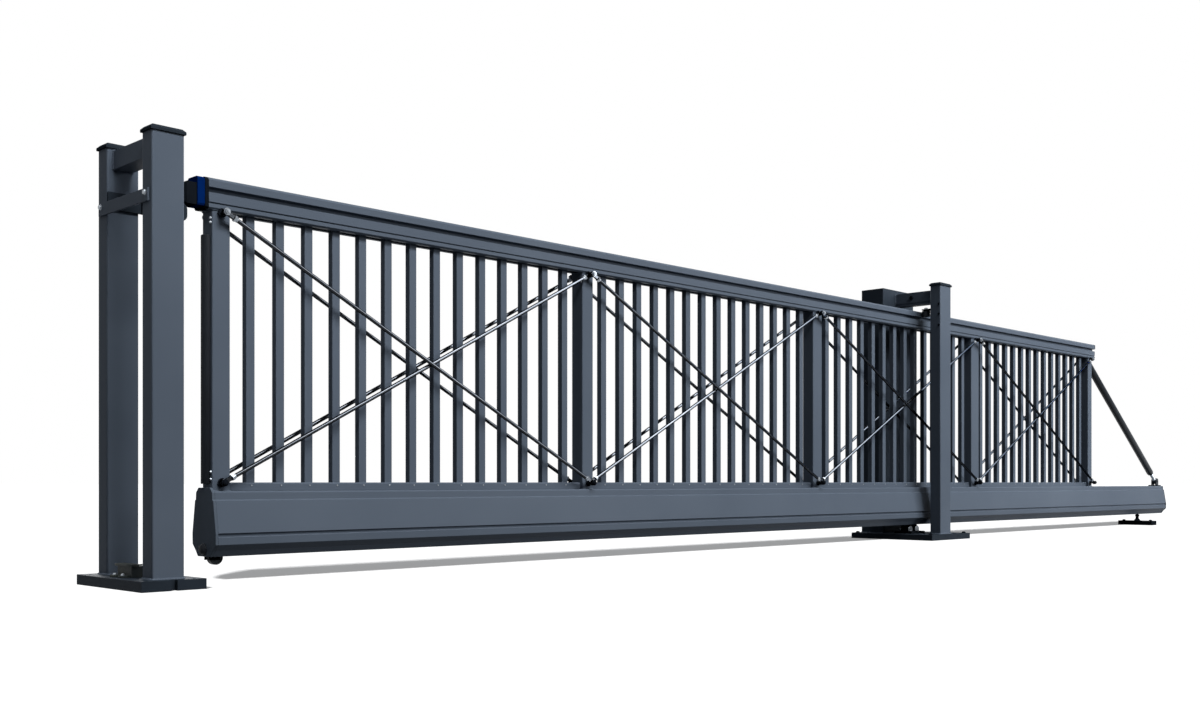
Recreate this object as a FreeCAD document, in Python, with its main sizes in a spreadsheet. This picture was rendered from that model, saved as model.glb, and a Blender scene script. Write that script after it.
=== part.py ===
"""Cantilever sliding driveway gate: leaf, receiving portal, guide portal and roller carriages.

All sizes are millimetres. The frame's origin is the centre of the guide portal's base plate, on its
underside. X runs along the leaf to its tail, Y runs across the leaf to the drive column, Z is up.
"""
import os
import re

import FreeCAD
import Part
import Sketcher

V = FreeCAD.Vector
doc = FreeCAD.newDocument("sliding_gate")
dims = doc.addObject("Spreadsheet::Sheet", "dims")

# Sizes, one named value each
SIZES = [
    # leaf layout
    ("first_stile", -5537),
    ("bay_length", 2112),
    ("stile_side", 80),
    ("stile_wall", 4),
    ("stile_round", 5),
    ("stile_1_wide", 80),
    ("stile_2_wide", 80),
    ("stile_3_wide", 100),
    ("stile_4_wide", 120),
    ("stile_5_wide", 80),
    ("picket_side", 40),
    ("picket_deep", 32),
    ("picket_offset", 146),
    ("picket_fit", 0.3),
    ("channel_height", 35),
    ("channel_wall", 8),
    ("channel_floor", 4),
    ("channel_bevel", 5),
    # bottom rail
    ("rail_clear", 105),
    ("rail_front_over", 55),
    ("rail_tail", 1660),
    ("rail_cap", 12),
    ("cap_crown", 14),
    ("rail_height", 266),
    ("rail_top_half", 66),
    ("rail_top_bevel", 6),
    ("rail_shoulder_half", 75),
    ("rail_shoulder_rise", 227),
    ("rail_ledge", 7),
    ("rail_ledge_rise", 4),
    ("rail_side_half", 96),
    ("rail_groove_rise", 80),
    ("rail_groove_height", 15),
    ("rail_groove_depth", 9),
    ("rail_groove_slope", 2),
    ("rail_skirt_rise", 49),
    ("rail_skirt_in", 1),
    ("rail_bevel_half", 70),
    ("rail_bevel_rise", 24),
    ("rail_foot_half", 51),
    ("rail_slot_half", 26),
    ("rail_lip", 12),
    ("rail_wall", 8),
    ("rail_web", 6),
    ("rail_bed_in", 1),
    ("rail_bed_rise", 3),
    # top rail
    ("top_under", 1510),
    ("top_front_over", 57),
    ("top_tail_over", 90),
    ("top_half", 45),
    ("top_lip_bevel", 7),
    ("top_lip_height", 22),
    ("top_line_height", 6),
    ("top_line_depth", 6),
    ("top_lower_face", 39),
    ("top_groove_height", 22),
    ("top_groove_depth", 22),
    ("top_upper_face", 39),
    ("top_bevel", 11),
    ("top_wall", 5),
    ("top_room_in", 2),
    ("picket_entry", 22),
    ("picket_room", 3),
    ("tail_plate", 4),
    ("tail_cap_length", 34),
    ("tail_cap_round", 28),
    # nose and safety edge
    ("nose_plate", 16),
    ("nose_block", 32),
    ("nose_length", 63),
    ("nose_half", 38),
    ("nose_lift", 9),
    ("nose_height", 89),
    ("block_in", 2),
    ("block_foot_in", 6),
    ("block_foot_rise", 8),
    ("nose_chamfer", 20),
    ("edge_depth", 25),
    ("edge_half", 26),
    ("edge_rise", 29),
    ("edge_drop", 100),
    ("edge_round", 10),
    # bracing
    ("pin_dia", 14),
    ("pin_fit", 0.2),
    ("pin_top_drop", 10),
    ("pin_low_rise", 34),
    ("collar_dia", 38),
    ("collar_thick", 10),
    ("neck_dia", 18),
    ("neck_length", 6),
    ("eye_dia", 30),
    ("eye_thick", 12),
    ("eye_gap", 7),
    ("eye_play", 1),
    ("shank_dia", 20),
    ("shank_length", 40),
    ("rod_dia", 18),
    ("pin_head", 6),
    ("pin_head_dia", 24),
    # tail strut
    ("strut_dia", 60),
    ("strut_wall", 4),
    ("strut_top_drop", 38),
    ("strut_pin_back", 36),
    ("strut_pin_rise", 48),
    ("strut_gap", 150),
    ("screw_dia", 30),
    ("fork_dia", 58),
    ("fork_thick", 24),
    ("lug_thick", 12),
    ("lug_dia", 52),
    ("lug_play", 1),
    ("strut_pin_dia", 20),
    ("strut_pin_over", 6),
    ("foot_front", 40),
    ("foot_back", 30),
    ("foot_half", 48),
    ("foot_thick", 10),
    # end wheel
    ("end_wheel_dia", 60),
    ("end_wheel_width", 30),
    ("end_wheel_in", 48),
    ("end_wheel_drop", 5),
    ("end_axle_dia", 14),
    ("end_axle_fit", 0.3),
    ("fork_plate", 4),
    ("fork_play", 1),
    ("fork_length", 50),
    ("fork_rise", 45),
    ("fork_below", 10),
    ("fork_bridge", 6),
    # receiving portal
    ("receiver_reach", 323),
    ("portal_half", 150),
    ("post_deep", 80),
    ("post_wall", 5),
    ("post_round", 6),
    ("receiver_post_wide", 130),
    ("receiver_post_over", 8),
    ("cap_thick", 22),
    ("cap_over", 6),
    ("plate_thick", 40),
    ("receiver_plate_long", 260),
    ("receiver_plate_front", 50),
    ("receiver_plate_back", 50),
    ("notch_wide", 24),
    ("notch_deep", 22),
    ("crossbar_wide", 80),
    ("crossbar_high", 75),
    ("receiver_bar_gap", 7),
    ("strap_thick", 8),
    ("strap_high", 50),
    ("strap_drop", 48),
    ("strap_end", 20),
    ("shoe_long", 170),
    ("shoe_half", 60),
    ("shoe_gap", 27),
    ("shoe_top", 84),
    ("shoe_bed", 64),
    ("shoe_stop", 24),
    ("shoe_back", 64),
    ("pad_thick", 10),
    ("pad_high", 70),
    ("pad_front_drop", 91),
    ("pad_rear_drop", 26),
    ("pad_over", 54),
    ("pad_round", 24),
    # guide portal
    ("guide_post_wide", 150),
    ("guide_post_over", 25),
    ("guide_plate_half", 270),
    ("guide_plate_front", 46),
    ("guide_plate_back", 46),
    ("column_wide", 420),
    ("column_deep", 182),
    ("column_over", 29),
    ("column_wall", 4),
    ("lid_thick", 6),
    ("guide_bar_gap", 67),
    ("strip_thick", 18),
    ("strip_in", 4),
    ("roller_dia", 60),
    ("roller_high", 40),
    ("roller_lift", 2),
    ("roller_pin", 16),
    ("roller_fit", 0.3),
    ("arm_thick", 8),
    ("arm_wide", 70),
    ("arm_lift", 3),
    ("arm_pin_below", 4),
    # carriages
    ("wheel_dia", 100),
    ("wheel_wide", 18),
    ("wheel_play", 6),
    ("wheel_seat", 0.3),
    ("wheel_side", 4),
    ("axle_dia", 20),
    ("axle_nut", 8),
    ("beam_half", 20),
    ("beam_high", 60),
    ("front_carriage_back", 99),
    ("front_beam_half", 170),
    ("front_axle_half", 110),
    ("front_stand_half", 65),
    ("front_foot_half", 90),
    ("front_foot_wide", 70),
    ("front_foot_thick", 18),
    ("cam_dia", 56),
    ("cam_thick", 12),
    ("cam_half", 46),
    ("cam_rise", 29),
    ("rear_inset", 480),
    ("rear_beam_half", 110),
    ("rear_axle_half", 55),
    ("stem_dia", 28),
    ("stem_foot", 64),
    ("stem_foot_high", 22),
    ("stem_head", 44),
    ("stem_head_high", 18),
    ("stem_head_drop", 9),
    ("rear_plate_long", 120),
    ("rear_plate_half", 158),
    # anchor holes
    ("anchor_dia", 18),
    ("receiver_anchor_x", 95),
    ("receiver_anchor_y", 245),
    ("guide_anchor_x", 235),
    ("guide_anchor_front", 245),
    ("guide_anchor_back", 347),
    ("rear_anchor_y", 125),
]
NAMES = set()
for row, (alias, value) in enumerate(SIZES, start=1):
    dims.set("A%d" % row, str(value))
    dims.setAlias("A%d" % row, alias)
    NAMES.add(alias)
doc.recompute()

BAYS = 4
PICKETS = 14


def sized(text):
    """Text with each named size written as a reference to the sheet."""
    def link(found):
        word = found.group(0)
        return "dims." + word if word in NAMES else word
    return re.sub(r"[a-z_][a-z0-9_]*", link, text)


def bind(item, prop, text):
    """Tie one property of an object to the sheet."""
    item.setExpression(prop, sized(str(text)))


def place(item, x, y, z):
    """Tie an object's base point to the sheet."""
    bind(item, "Placement.Base.x", x)
    bind(item, "Placement.Base.y", y)
    bind(item, "Placement.Base.z", z)
    return item


def box(name, x, y, z):
    """Box from (start, length) pairs along X, Y and Z."""
    item = doc.addObject("Part::Box", name)
    bind(item, "Length", x[1])
    bind(item, "Width", y[1])
    bind(item, "Height", z[1])
    return place(item, x[0], y[0], z[0])


TURNS = {"z": FreeCAD.Rotation(), "y": FreeCAD.Rotation(V(1, 0, 0), -90)}


def rod(name, axis, dia, x, y, z, length):
    """Round bar from a start point along one axis."""
    item = doc.addObject("Part::Cylinder", name)
    item.Placement = FreeCAD.Placement(V(), TURNS[axis])
    bind(item, "Radius", "(%s) / 2" % dia)
    bind(item, "Height", length)
    return place(item, x, y, z)


def cone(name, low, high, x, z, height):
    """Upright cone between two diameters, on the leaf's middle plane."""
    item = doc.addObject("Part::Cone", name)
    bind(item, "Radius1", "(%s) / 2" % low)
    bind(item, "Radius2", "(%s) / 2" % high)
    bind(item, "Height", height)
    return place(item, x, "0", z)


def join(name, items):
    """One solid from several that overlap."""
    item = doc.addObject("Part::MultiFuse", name)
    item.Shapes = items
    item.Refine = True
    return item


def cut(name, base, tools):
    """The base with every tool taken away."""
    tool = tools[0]
    if len(tools) > 1:
        tool = doc.addObject("Part::Compound", name + "_tools")
        tool.Links = tools
    item = doc.addObject("Part::Cut", name)
    item.Base = base
    item.Tool = tool
    return item


def group(name, items):
    """Like pieces that share a node and don't touch."""
    item = doc.addObject("Part::Compound", name)
    item.Links = items
    return item


def section(name, loops, start, length):
    """Extrusion along X of loops of (side, half width, height) corners; side is 1 or -1."""
    sketch = doc.addObject("Sketcher::SketchObject", name + "_section")
    sketch.Placement = FreeCAD.Placement(V(), FreeCAD.Rotation(V(1, 1, 1), 120))
    bind(sketch, "Placement.Base.x", start)
    for loop in loops:
        spots = []
        for side, half, height in loop:
            spots.append(V(side * read(half), read(height), 0))
        first = sketch.GeometryCount
        count = len(loop)
        for i in range(count):
            sketch.addGeometry(Part.LineSegment(spots[i], spots[(i + 1) % count]))
        for i in range(count):
            sketch.addConstraint(Sketcher.Constraint("Coincident", first + i, 2, first + (i + 1) % count, 1))
        for i, (side, half, height) in enumerate(loop):
            ends = (-1, 1, first + i, 1) if side > 0 else (first + i, 1, -1, 1)
            index = sketch.addConstraint(Sketcher.Constraint("DistanceX", *ends, abs(spots[i].x)))
            bind(sketch, "Constraints[%d]" % index, half)
            index = sketch.addConstraint(Sketcher.Constraint("DistanceY", -1, 1, first + i, 1, spots[i].y))
            bind(sketch, "Constraints[%d]" % index, height)
    item = doc.addObject("Part::Extrusion", name)
    item.Base = sketch
    item.DirMode = "Custom"
    item.Dir = V(1, 0, 0)
    item.Solid = True
    item.FaceMakerClass = "Part::FaceMakerBullseye"
    bind(item, "LengthFwd", length)
    return item


def read(text):
    """Value now of an expression of named sizes."""
    probe = sized(str(text))
    value = dims.evalExpression(probe)
    return float(getattr(value, "Value", value))


def mirror_loop(right):
    """Closed loop from its right half, listed from bottom to top."""
    left = [(-1, half, height) for _, half, height in reversed(right)]
    return right + left


def rounded(name, x, y, z, size):
    """Box with its four upright edges rounded."""
    base = box(name + "_block", x, y, z)
    doc.recompute()
    edges = []
    for number, edge in enumerate(base.Shape.Edges, start=1):
        along = edge.Vertexes[1].Point - edge.Vertexes[0].Point
        if abs(along.z) > 0.9 * along.Length:
            edges.append((number, read(size), read(size)))
    item = doc.addObject("Part::Fillet", name)
    item.Base = base
    item.Edges = edges
    return item


nodes = {}


def node(name, item):
    """Register a finished piece under the name of its file."""
    item.Label = name
    nodes[name] = item
    return item


# Bottom rail: hollow section, open below, with a lip each side of the slot for the wheels
LIP_TOP = "rail_clear + rail_lip"
CEILING = "rail_clear + rail_lip + wheel_play + wheel_dia + wheel_seat"
RAIL_TOP = "rail_clear + rail_height"
RAIL_GROOVE = "rail_clear + rail_groove_rise"
TRACK_HALF = "rail_side_half - rail_groove_depth - rail_wall"
outer = [
    (1, "rail_slot_half", "rail_clear"),
    (1, "rail_foot_half", "rail_clear"),
    (1, "rail_bevel_half", "rail_clear + rail_bevel_rise"),
    (1, "rail_side_half - rail_skirt_in", "rail_clear + rail_skirt_rise"),
    (1, "rail_side_half", RAIL_GROOVE),
    (1, "rail_side_half - rail_groove_depth", RAIL_GROOVE + " + rail_groove_slope"),
    (1, "rail_side_half - rail_groove_depth", RAIL_GROOVE + " + rail_groove_height - rail_groove_slope"),
    (1, "rail_side_half", RAIL_GROOVE + " + rail_groove_height"),
    (1, "rail_shoulder_half", "rail_clear + rail_shoulder_rise"),
    (1, "rail_shoulder_half - rail_ledge", "rail_clear + rail_shoulder_rise + rail_ledge_rise"),
    (1, "rail_top_half", RAIL_TOP + " - rail_top_bevel"),
    (1, "rail_top_half - rail_top_bevel", RAIL_TOP),
]
inner = [
    (-1, "rail_slot_half", LIP_TOP),
    (-1, "rail_foot_half - rail_bed_in", LIP_TOP),
    (-1, TRACK_HALF, "rail_clear + rail_skirt_rise + rail_bed_rise"),
    (-1, TRACK_HALF, CEILING),
    (1, TRACK_HALF, CEILING),
    (1, TRACK_HALF, "rail_clear + rail_skirt_rise + rail_bed_rise"),
    (1, "rail_foot_half - rail_bed_in", LIP_TOP),
    (1, "rail_slot_half", LIP_TOP),
]
upper = mirror_loop([
    (1, TRACK_HALF, CEILING + " + rail_web"),
    (1, "rail_shoulder_half - rail_ledge - rail_wall", "rail_clear + rail_shoulder_rise"),
    (1, "rail_top_half - rail_wall", RAIL_TOP + " - rail_wall"),
])
LEAF_FRONT = "first_stile - rail_front_over"
LAST_STILE = "first_stile + %d * bay_length" % BAYS
LEAF_TAIL = "(" + LAST_STILE + " + rail_tail)"
rail_loop = mirror_loop(outer) + inner
node("bottom_rail", section("bottom_rail_body", [rail_loop, upper], LEAF_FRONT + " + rail_cap",
                            LEAF_TAIL + " - (" + LEAF_FRONT + ") - 2 * rail_cap"))
cap_side = outer[1:5] + outer[7:]
cap_loop = mirror_loop(cap_side)
crown = (1, "rail_top_half - rail_top_bevel - cap_crown", RAIL_TOP + " + cap_crown")
crown_loop = mirror_loop(cap_side + [crown])
node("front_rail_cap", section("front_rail_cap_body", [crown_loop], LEAF_FRONT, "rail_cap"))
node("tail_rail_cap", section("tail_rail_cap_body", [cap_loop], LEAF_TAIL + " - rail_cap", "rail_cap"))

# Lower channels: one per bay, open above, the pickets stand on their floors
channels = []
for bay in range(BAYS):
    start = "first_stile + %d * bay_length + stile_%d_wide / 2" % (bay, bay + 1)
    length = "bay_length - stile_%d_wide / 2 - stile_%d_wide / 2" % (bay + 1, bay + 2)
    half = "picket_deep / 2 + picket_fit"
    loop = mirror_loop([
        (1, half + " + channel_wall", RAIL_TOP),
        (1, half + " + channel_wall", RAIL_TOP + " + channel_height - channel_bevel"),
        (1, half + " + channel_wall - channel_bevel", RAIL_TOP + " + channel_height"),
        (1, half, RAIL_TOP + " + channel_height"),
        (1, half, RAIL_TOP + " + channel_floor"),
    ])
    channels.append(section("lower_channel_%d_body" % (bay + 1), [loop], start, length))
node("lower_channels", group("lower_channel_set", channels))

# Top rail: grooved hollow section with a slot below that takes the picket ends
LINE = "top_under + top_lip_height"
LOWER = LINE + " + top_line_height"
GROOVE = LOWER + " + top_lower_face"
UPPER = GROOVE + " + top_groove_height"
TOP = UPPER + " + top_upper_face"
SLOT_HALF = "picket_deep / 2 + picket_fit"
SLOT_TOP = "top_under + picket_entry + picket_room"
top_outer = [
    (1, SLOT_HALF, "top_under"),
    (1, "top_half - top_lip_bevel", "top_under"),
    (1, "top_half", "top_under + top_lip_bevel"),
    (1, "top_half", LINE),
    (1, "top_half - top_line_depth", LINE),
    (1, "top_half - top_line_depth", LOWER),
    (1, "top_half", LOWER),
    (1, "top_half", GROOVE),
    (1, "top_half - top_groove_depth", GROOVE),
    (1, "top_half - top_groove_depth", UPPER),
    (1, "top_half", UPPER),
    (1, "top_half", TOP + " - top_bevel"),
    (1, "top_half - top_bevel", TOP),
]
top_slot = [(-1, SLOT_HALF, SLOT_TOP), (1, SLOT_HALF, SLOT_TOP)]
top_low_room = mirror_loop([
    (1, "top_half - top_groove_depth - top_wall", SLOT_TOP + " + top_wall"),
    (1, "top_half - top_groove_depth - top_wall", UPPER + " - top_wall"),
])
top_high_room = mirror_loop([
    (1, "top_half - top_wall", UPPER + " + top_wall"),
    (1, "top_half - top_wall", TOP + " - top_bevel - top_room_in"),
    (1, "top_half - top_bevel - top_room_in", TOP + " - top_wall"),
])
TOP_FRONT = "(first_stile - top_front_over)"
TOP_TAIL = "(" + LAST_STILE + " + top_tail_over)"
node("top_rail", section("top_rail_body", [mirror_loop(top_outer) + top_slot, top_low_room, top_high_room],
                         TOP_FRONT, TOP_TAIL + " - " + TOP_FRONT))

# Tail cap of the top rail: a closing plate with a rounded end on the upper part
tail_plate = section("tail_cap_plate", [mirror_loop(top_outer[1:])], TOP_TAIL, "tail_plate")
lobe = box("tail_cap_lobe", (TOP_TAIL, "tail_cap_length"), ("-top_half", "2 * top_half"),
           (UPPER, "top_upper_face"))
doc.recompute()
lobe_edges = []
for number, edge in enumerate(lobe.Shape.Edges, start=1):
    middle = edge.CenterOfMass
    at_end = abs(middle.x - lobe.Shape.BoundBox.XMax) < 0.01
    on_top = abs(middle.z - lobe.Shape.BoundBox.ZMax) < 0.01
    at_start = abs(middle.x - lobe.Shape.BoundBox.XMin) < 0.01
    if on_top and not at_start:
        lobe_edges.append((number, read("top_bevel"), read("top_bevel")))
    elif at_end and abs(middle.y) > 1:
        lobe_edges.append((number, read("tail_cap_round"), read("tail_cap_round")))
lobe_shape = doc.addObject("Part::Fillet", "tail_cap_rounded")
lobe_shape.Base = lobe
lobe_shape.Edges = lobe_edges
node("top_rail_tail_cap", join("tail_cap", [tail_plate, lobe_shape]))

# Stiles: box tubes with a hole each for the two bracing pins
PIN_TOP = "(top_under - pin_top_drop)"
PIN_LOW = "(" + RAIL_TOP + " + pin_low_rise)"
PIN_LEVELS = (("pin_top", PIN_TOP), ("pin_low", PIN_LOW))
for index in range(BAYS + 1):
    centre = "(first_stile + %d * bay_length)" % index
    name = "stile_%d" % (index + 1)
    height = "top_under - (" + RAIL_TOP + ")"
    wide = name + "_wide"
    solid = rounded(name + "_tube", (centre + " - " + wide + " / 2", wide),
                    ("-stile_side / 2", "stile_side"), (RAIL_TOP, height), "stile_round")
    core = box(name + "_core", (centre + " - " + wide + " / 2 + stile_wall", wide + " - 2 * stile_wall"),
               ("-stile_side / 2 + stile_wall", "stile_side - 2 * stile_wall"), (RAIL_TOP, height))
    holes = []
    for tag, spot in PIN_LEVELS:
        holes.append(rod(name + "_" + tag, "y", "pin_dia + 2 * pin_fit", centre, "-stile_side", spot,
                         "2 * stile_side"))
    node(name, cut(name + "_body", solid, [core] + holes))

# Pickets: fourteen flat bars in each bay, evenly spread
PITCH = "(bay_length - 2 * picket_offset) / %d" % (PICKETS - 1)
PICKET_FOOT = RAIL_TOP + " + channel_floor"
PICKET_HIGH = "top_under + picket_entry - (" + PICKET_FOOT + ")"
for bay in range(BAYS):
    bars = []
    for index in range(PICKETS):
        centre = "first_stile + %d * bay_length + picket_offset + %d * (%s)" % (bay, index, PITCH)
        bars.append(box("picket_%d_%d" % (bay + 1, index + 1), (centre + " - picket_side / 2", "picket_side"),
                        ("-picket_deep / 2", "picket_deep"), (PICKET_FOOT, PICKET_HIGH)))
    node("pickets_bay_%d" % (bay + 1), group("pickets_%d" % (bay + 1), bars))

# Bracing: a pin through each stile, top and bottom, carries the eyes of the tie rods
EYE_INNER = "(stile_side / 2 + collar_thick + eye_play)"
EYE_OUTER = "(stile_side / 2 + collar_thick + eye_play + eye_thick + eye_gap)"
LONG_PIN = "(" + EYE_OUTER + " + eye_thick + eye_play + pin_head)"
SHORT_PIN = "(" + EYE_INNER + " + eye_thick + eye_play + pin_head)"
pins = []
for index in range(BAYS + 1):
    centre = "(first_stile + %d * bay_length)" % index
    for level, spot in PIN_LEVELS:
        name = "%s_%d" % (level, index + 1)
        one_eye = (index == 0 and level == "pin_low") or (index == BAYS and level == "pin_top")
        pin_end = SHORT_PIN if one_eye else LONG_PIN
        pieces = [rod(name + "_bar", "y", "pin_dia", centre, "-" + pin_end, spot, "2 * " + pin_end)]
        for side in (-1, 1):
            tag = "f" if side < 0 else "b"
            neck = "-(stile_side / 2) - neck_length" if side < 0 else "stile_side / 2"
            disc = "-(stile_side / 2) - collar_thick" if side < 0 else "stile_side / 2 + neck_length"
            head = "-" + pin_end if side < 0 else pin_end + " - pin_head"
            pieces.append(rod(name + "_neck_" + tag, "y", "neck_dia", centre, neck, spot, "neck_length"))
            pieces.append(rod(name + "_collar_" + tag, "y", "collar_dia", centre, disc, spot,
                              "collar_thick - neck_length"))
            pieces.append(rod(name + "_head_" + tag, "y", "pin_head_dia", centre, head, spot, "pin_head"))
        pins.append(join(name + "_pin", pieces))
node("bracing_pins", group("pins", pins))


def slanted(name, dia, x, y, z, along, length, lean):
    """Round bar from a point in the leaf's plane, leaning from upright by an angle, after a first gap."""
    item = doc.addObject("Part::Cylinder", name)
    item.Placement = FreeCAD.Placement(V(), FreeCAD.Rotation(V(0, 1, 0), 30))
    bind(item, "Radius", "(%s) / 2" % dia)
    bind(item, "Height", length)
    bind(item, "Placement.Rotation.Angle", lean)
    return place(item, "%s + (%s) * sin(%s)" % (x, along, lean), y, "%s + (%s) * cos(%s)" % (z, along, lean))


RISE = "(" + PIN_TOP + " - " + PIN_LOW + ")"
SPAN = "sqrt(bay_length ^ 2 + " + RISE + " ^ 2)"
for side in (-1, 1):
    face = "front" if side < 0 else "back"
    bars = []
    ends = []
    for bay in range(BAYS):
        for way in ("up", "down"):
            low = EYE_INNER if way == "up" else EYE_OUTER
            middle = "(%d) * (%s + eye_thick / 2)" % (side, low)
            start = "(first_stile + %d * bay_length)" % bay
            finish = "(first_stile + %d * bay_length)" % (bay + 1)
            first, last = (PIN_LOW, PIN_TOP) if way == "up" else (PIN_TOP, PIN_LOW)
            lean = "atan2(bay_length; %s)" % (RISE if way == "up" else "-1 * " + RISE)
            name = "%s_%d_%s" % (face, bay + 1, way)
            bars.append(slanted(name + "_bar", "rod_dia", start, middle, first, "shank_length",
                                SPAN + " - 2 * shank_length", lean))
            for end, (x, z) in enumerate(((start, first), (finish, last))):
                ring = rod("%s_ring_%d" % (name, end), "y", "eye_dia", x, middle + " - eye_thick / 2", z,
                           "eye_thick")
                along = "0" if end == 0 else "-1 * shank_length"
                shank = slanted("%s_shank_%d" % (name, end), "shank_dia", x, middle, z, along,
                                "shank_length", lean)
                trim = box("%s_trim_%d" % (name, end), (x + " - eye_dia * 3", "eye_dia * 6"),
                           (middle + " - eye_thick / 2", "eye_thick"), (z + " - eye_dia * 3", "eye_dia * 6"))
                flat = doc.addObject("Part::MultiCommon", "%s_flat_%d" % (name, end))
                flat.Shapes = [shank, trim]
                bore = rod("%s_bore_%d" % (name, end), "y", "pin_dia + 2 * pin_fit", x,
                           middle + " - eye_thick", z, "2 * eye_thick")
                whole = join("%s_end_%d" % (name, end), [ring, flat])
                ends.append(cut("%s_eye_%d" % (name, end), whole, [bore]))
    node("tie_rods_" + face, group("rods_" + face, bars))
    node("rod_eyes_" + face, group("eyes_" + face, ends))

# Nose at the front of the top rail and the safety edge on the first stile
NOSE_BACK = "(first_stile - top_front_over - nose_plate)"
NOSE_UNDER = "top_under + nose_lift"
plate_loop = mirror_loop(top_outer[1:3] + top_outer[-2:])
node("nose_plate", section("nose_plate_body", [plate_loop], NOSE_BACK, "nose_plate"))
block_loop = mirror_loop([
    (1, "top_half - block_foot_in", NOSE_UNDER),
    (1, "top_half - block_in", NOSE_UNDER + " + block_foot_rise"),
    (1, "top_half - block_in", TOP + " - top_bevel"),
    (1, "top_half - top_bevel - block_in", TOP + " - block_in"),
])
node("nose_block", section("nose_block_body", [block_loop], NOSE_BACK + " - nose_block", "nose_block"))
NOSE_TIP = "(" + NOSE_BACK + " - nose_block - nose_length)"
nose = box("nose_tip_block", (NOSE_TIP, "nose_length"), ("-nose_half", "2 * nose_half"),
           (NOSE_UNDER, "nose_height"))
doc.recompute()
nose_edges = []
for number, edge in enumerate(nose.Shape.Edges, start=1):
    middle = edge.CenterOfMass
    if abs(middle.x - nose.Shape.BoundBox.XMin) < 0.01:
        nose_edges.append((number, read("nose_chamfer"), read("nose_chamfer")))
nose_shape = doc.addObject("Part::Chamfer", "nose_tip_body")
nose_shape.Base = nose
nose_shape.Edges = nose_edges
node("nose_tip", nose_shape)
EDGE_UNDER = RAIL_TOP + " + edge_rise"
EDGE_FRONT = "(first_stile - stile_side / 2 - edge_depth)"
node("safety_edge", rounded("safety_edge_body", (EDGE_FRONT, "edge_depth"), ("-edge_half", "2 * edge_half"),
                            (EDGE_UNDER, "top_under - edge_drop - (" + EDGE_UNDER + ")"), "edge_round"))

# Tail strut: a tube from the last stile to a fork at the tail of the bottom rail
STRUT_X = "(" + LAST_STILE + " + stile_side / 2)"
PIN_X = "(" + LEAF_TAIL + " - strut_pin_back)"
PIN_Z = "(" + RAIL_TOP + " + strut_pin_rise)"
STRUT_RUN = "(" + PIN_X + " - " + STRUT_X + ")"
STRUT_TOP = "(top_under - strut_top_drop)"
STRUT_FALL = "(" + PIN_Z + " - " + STRUT_TOP + ")"
STRUT_LEAN = "atan2(" + STRUT_RUN + "; " + STRUT_FALL + ")"
STRUT_SPAN = "sqrt(" + STRUT_RUN + " ^ 2 + " + STRUT_FALL + " ^ 2)"
stile_side_cut = box("strut_trim", (STRUT_X, "bay_length + rail_tail"), ("-strut_dia", "2 * strut_dia"),
                     ("0", "2 * top_under"))
tube_solid = slanted("strut_solid", "strut_dia", STRUT_X, "0", STRUT_TOP, "-1 * strut_dia",
                     STRUT_SPAN + " + strut_dia - strut_gap", STRUT_LEAN)
tube_core = slanted("strut_core", "strut_dia - 2 * strut_wall", STRUT_X, "0", STRUT_TOP, "-1 * strut_dia",
                    STRUT_SPAN + " + strut_dia - strut_gap - 2 * strut_wall", STRUT_LEAN)
tube_keep = doc.addObject("Part::MultiCommon", "strut_tube_keep")
tube_keep.Shapes = [tube_solid, stile_side_cut]
node("tail_strut", cut("tail_strut_body", tube_keep, [tube_core]))
node("strut_screw", slanted("strut_screw_body", "screw_dia", STRUT_X, "0", STRUT_TOP,
                            STRUT_SPAN + " - strut_gap", "strut_gap - fork_dia / 2", STRUT_LEAN))
fork_round = rod("strut_fork_round", "y", "fork_dia", PIN_X, "-fork_thick / 2", PIN_Z, "fork_thick")
fork_seat = slanted("strut_fork_seat", "screw_dia", STRUT_X, "0", STRUT_TOP, STRUT_SPAN + " - strut_gap",
                    "strut_gap - fork_dia / 2", STRUT_LEAN)
fork_bore = rod("strut_fork_bore", "y", "strut_pin_dia + 2 * pin_fit", PIN_X, "-fork_thick", PIN_Z,
                "2 * fork_thick")
node("strut_eye", cut("strut_eye_body", fork_round, [fork_seat, fork_bore]))
lug_pieces = [box("strut_foot", (PIN_X + " - foot_front", "foot_front + foot_back"),
                  ("-foot_half", "2 * foot_half"), (RAIL_TOP, "foot_thick"))]
LUG_OUT = "(fork_thick / 2 + lug_play + lug_thick)"
for side in (-1, 1):
    tag = "f" if side < 0 else "b"
    y = "-" + LUG_OUT if side < 0 else LUG_OUT + " - lug_thick"
    lug_pieces.append(box("strut_lug_" + tag, (PIN_X + " - lug_dia / 2", "lug_dia"), (y, "lug_thick"),
                          (RAIL_TOP, "strut_pin_rise")))
    lug_pieces.append(rod("strut_lug_round_" + tag, "y", "lug_dia", PIN_X, y, PIN_Z, "lug_thick"))
lug_pieces.append(rod("strut_pin", "y", "strut_pin_dia", PIN_X, "-" + LUG_OUT + " - strut_pin_over", PIN_Z,
                      "2 * (" + LUG_OUT + " + strut_pin_over)"))
node("strut_bracket", join("strut_bracket_body", lug_pieces))

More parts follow.
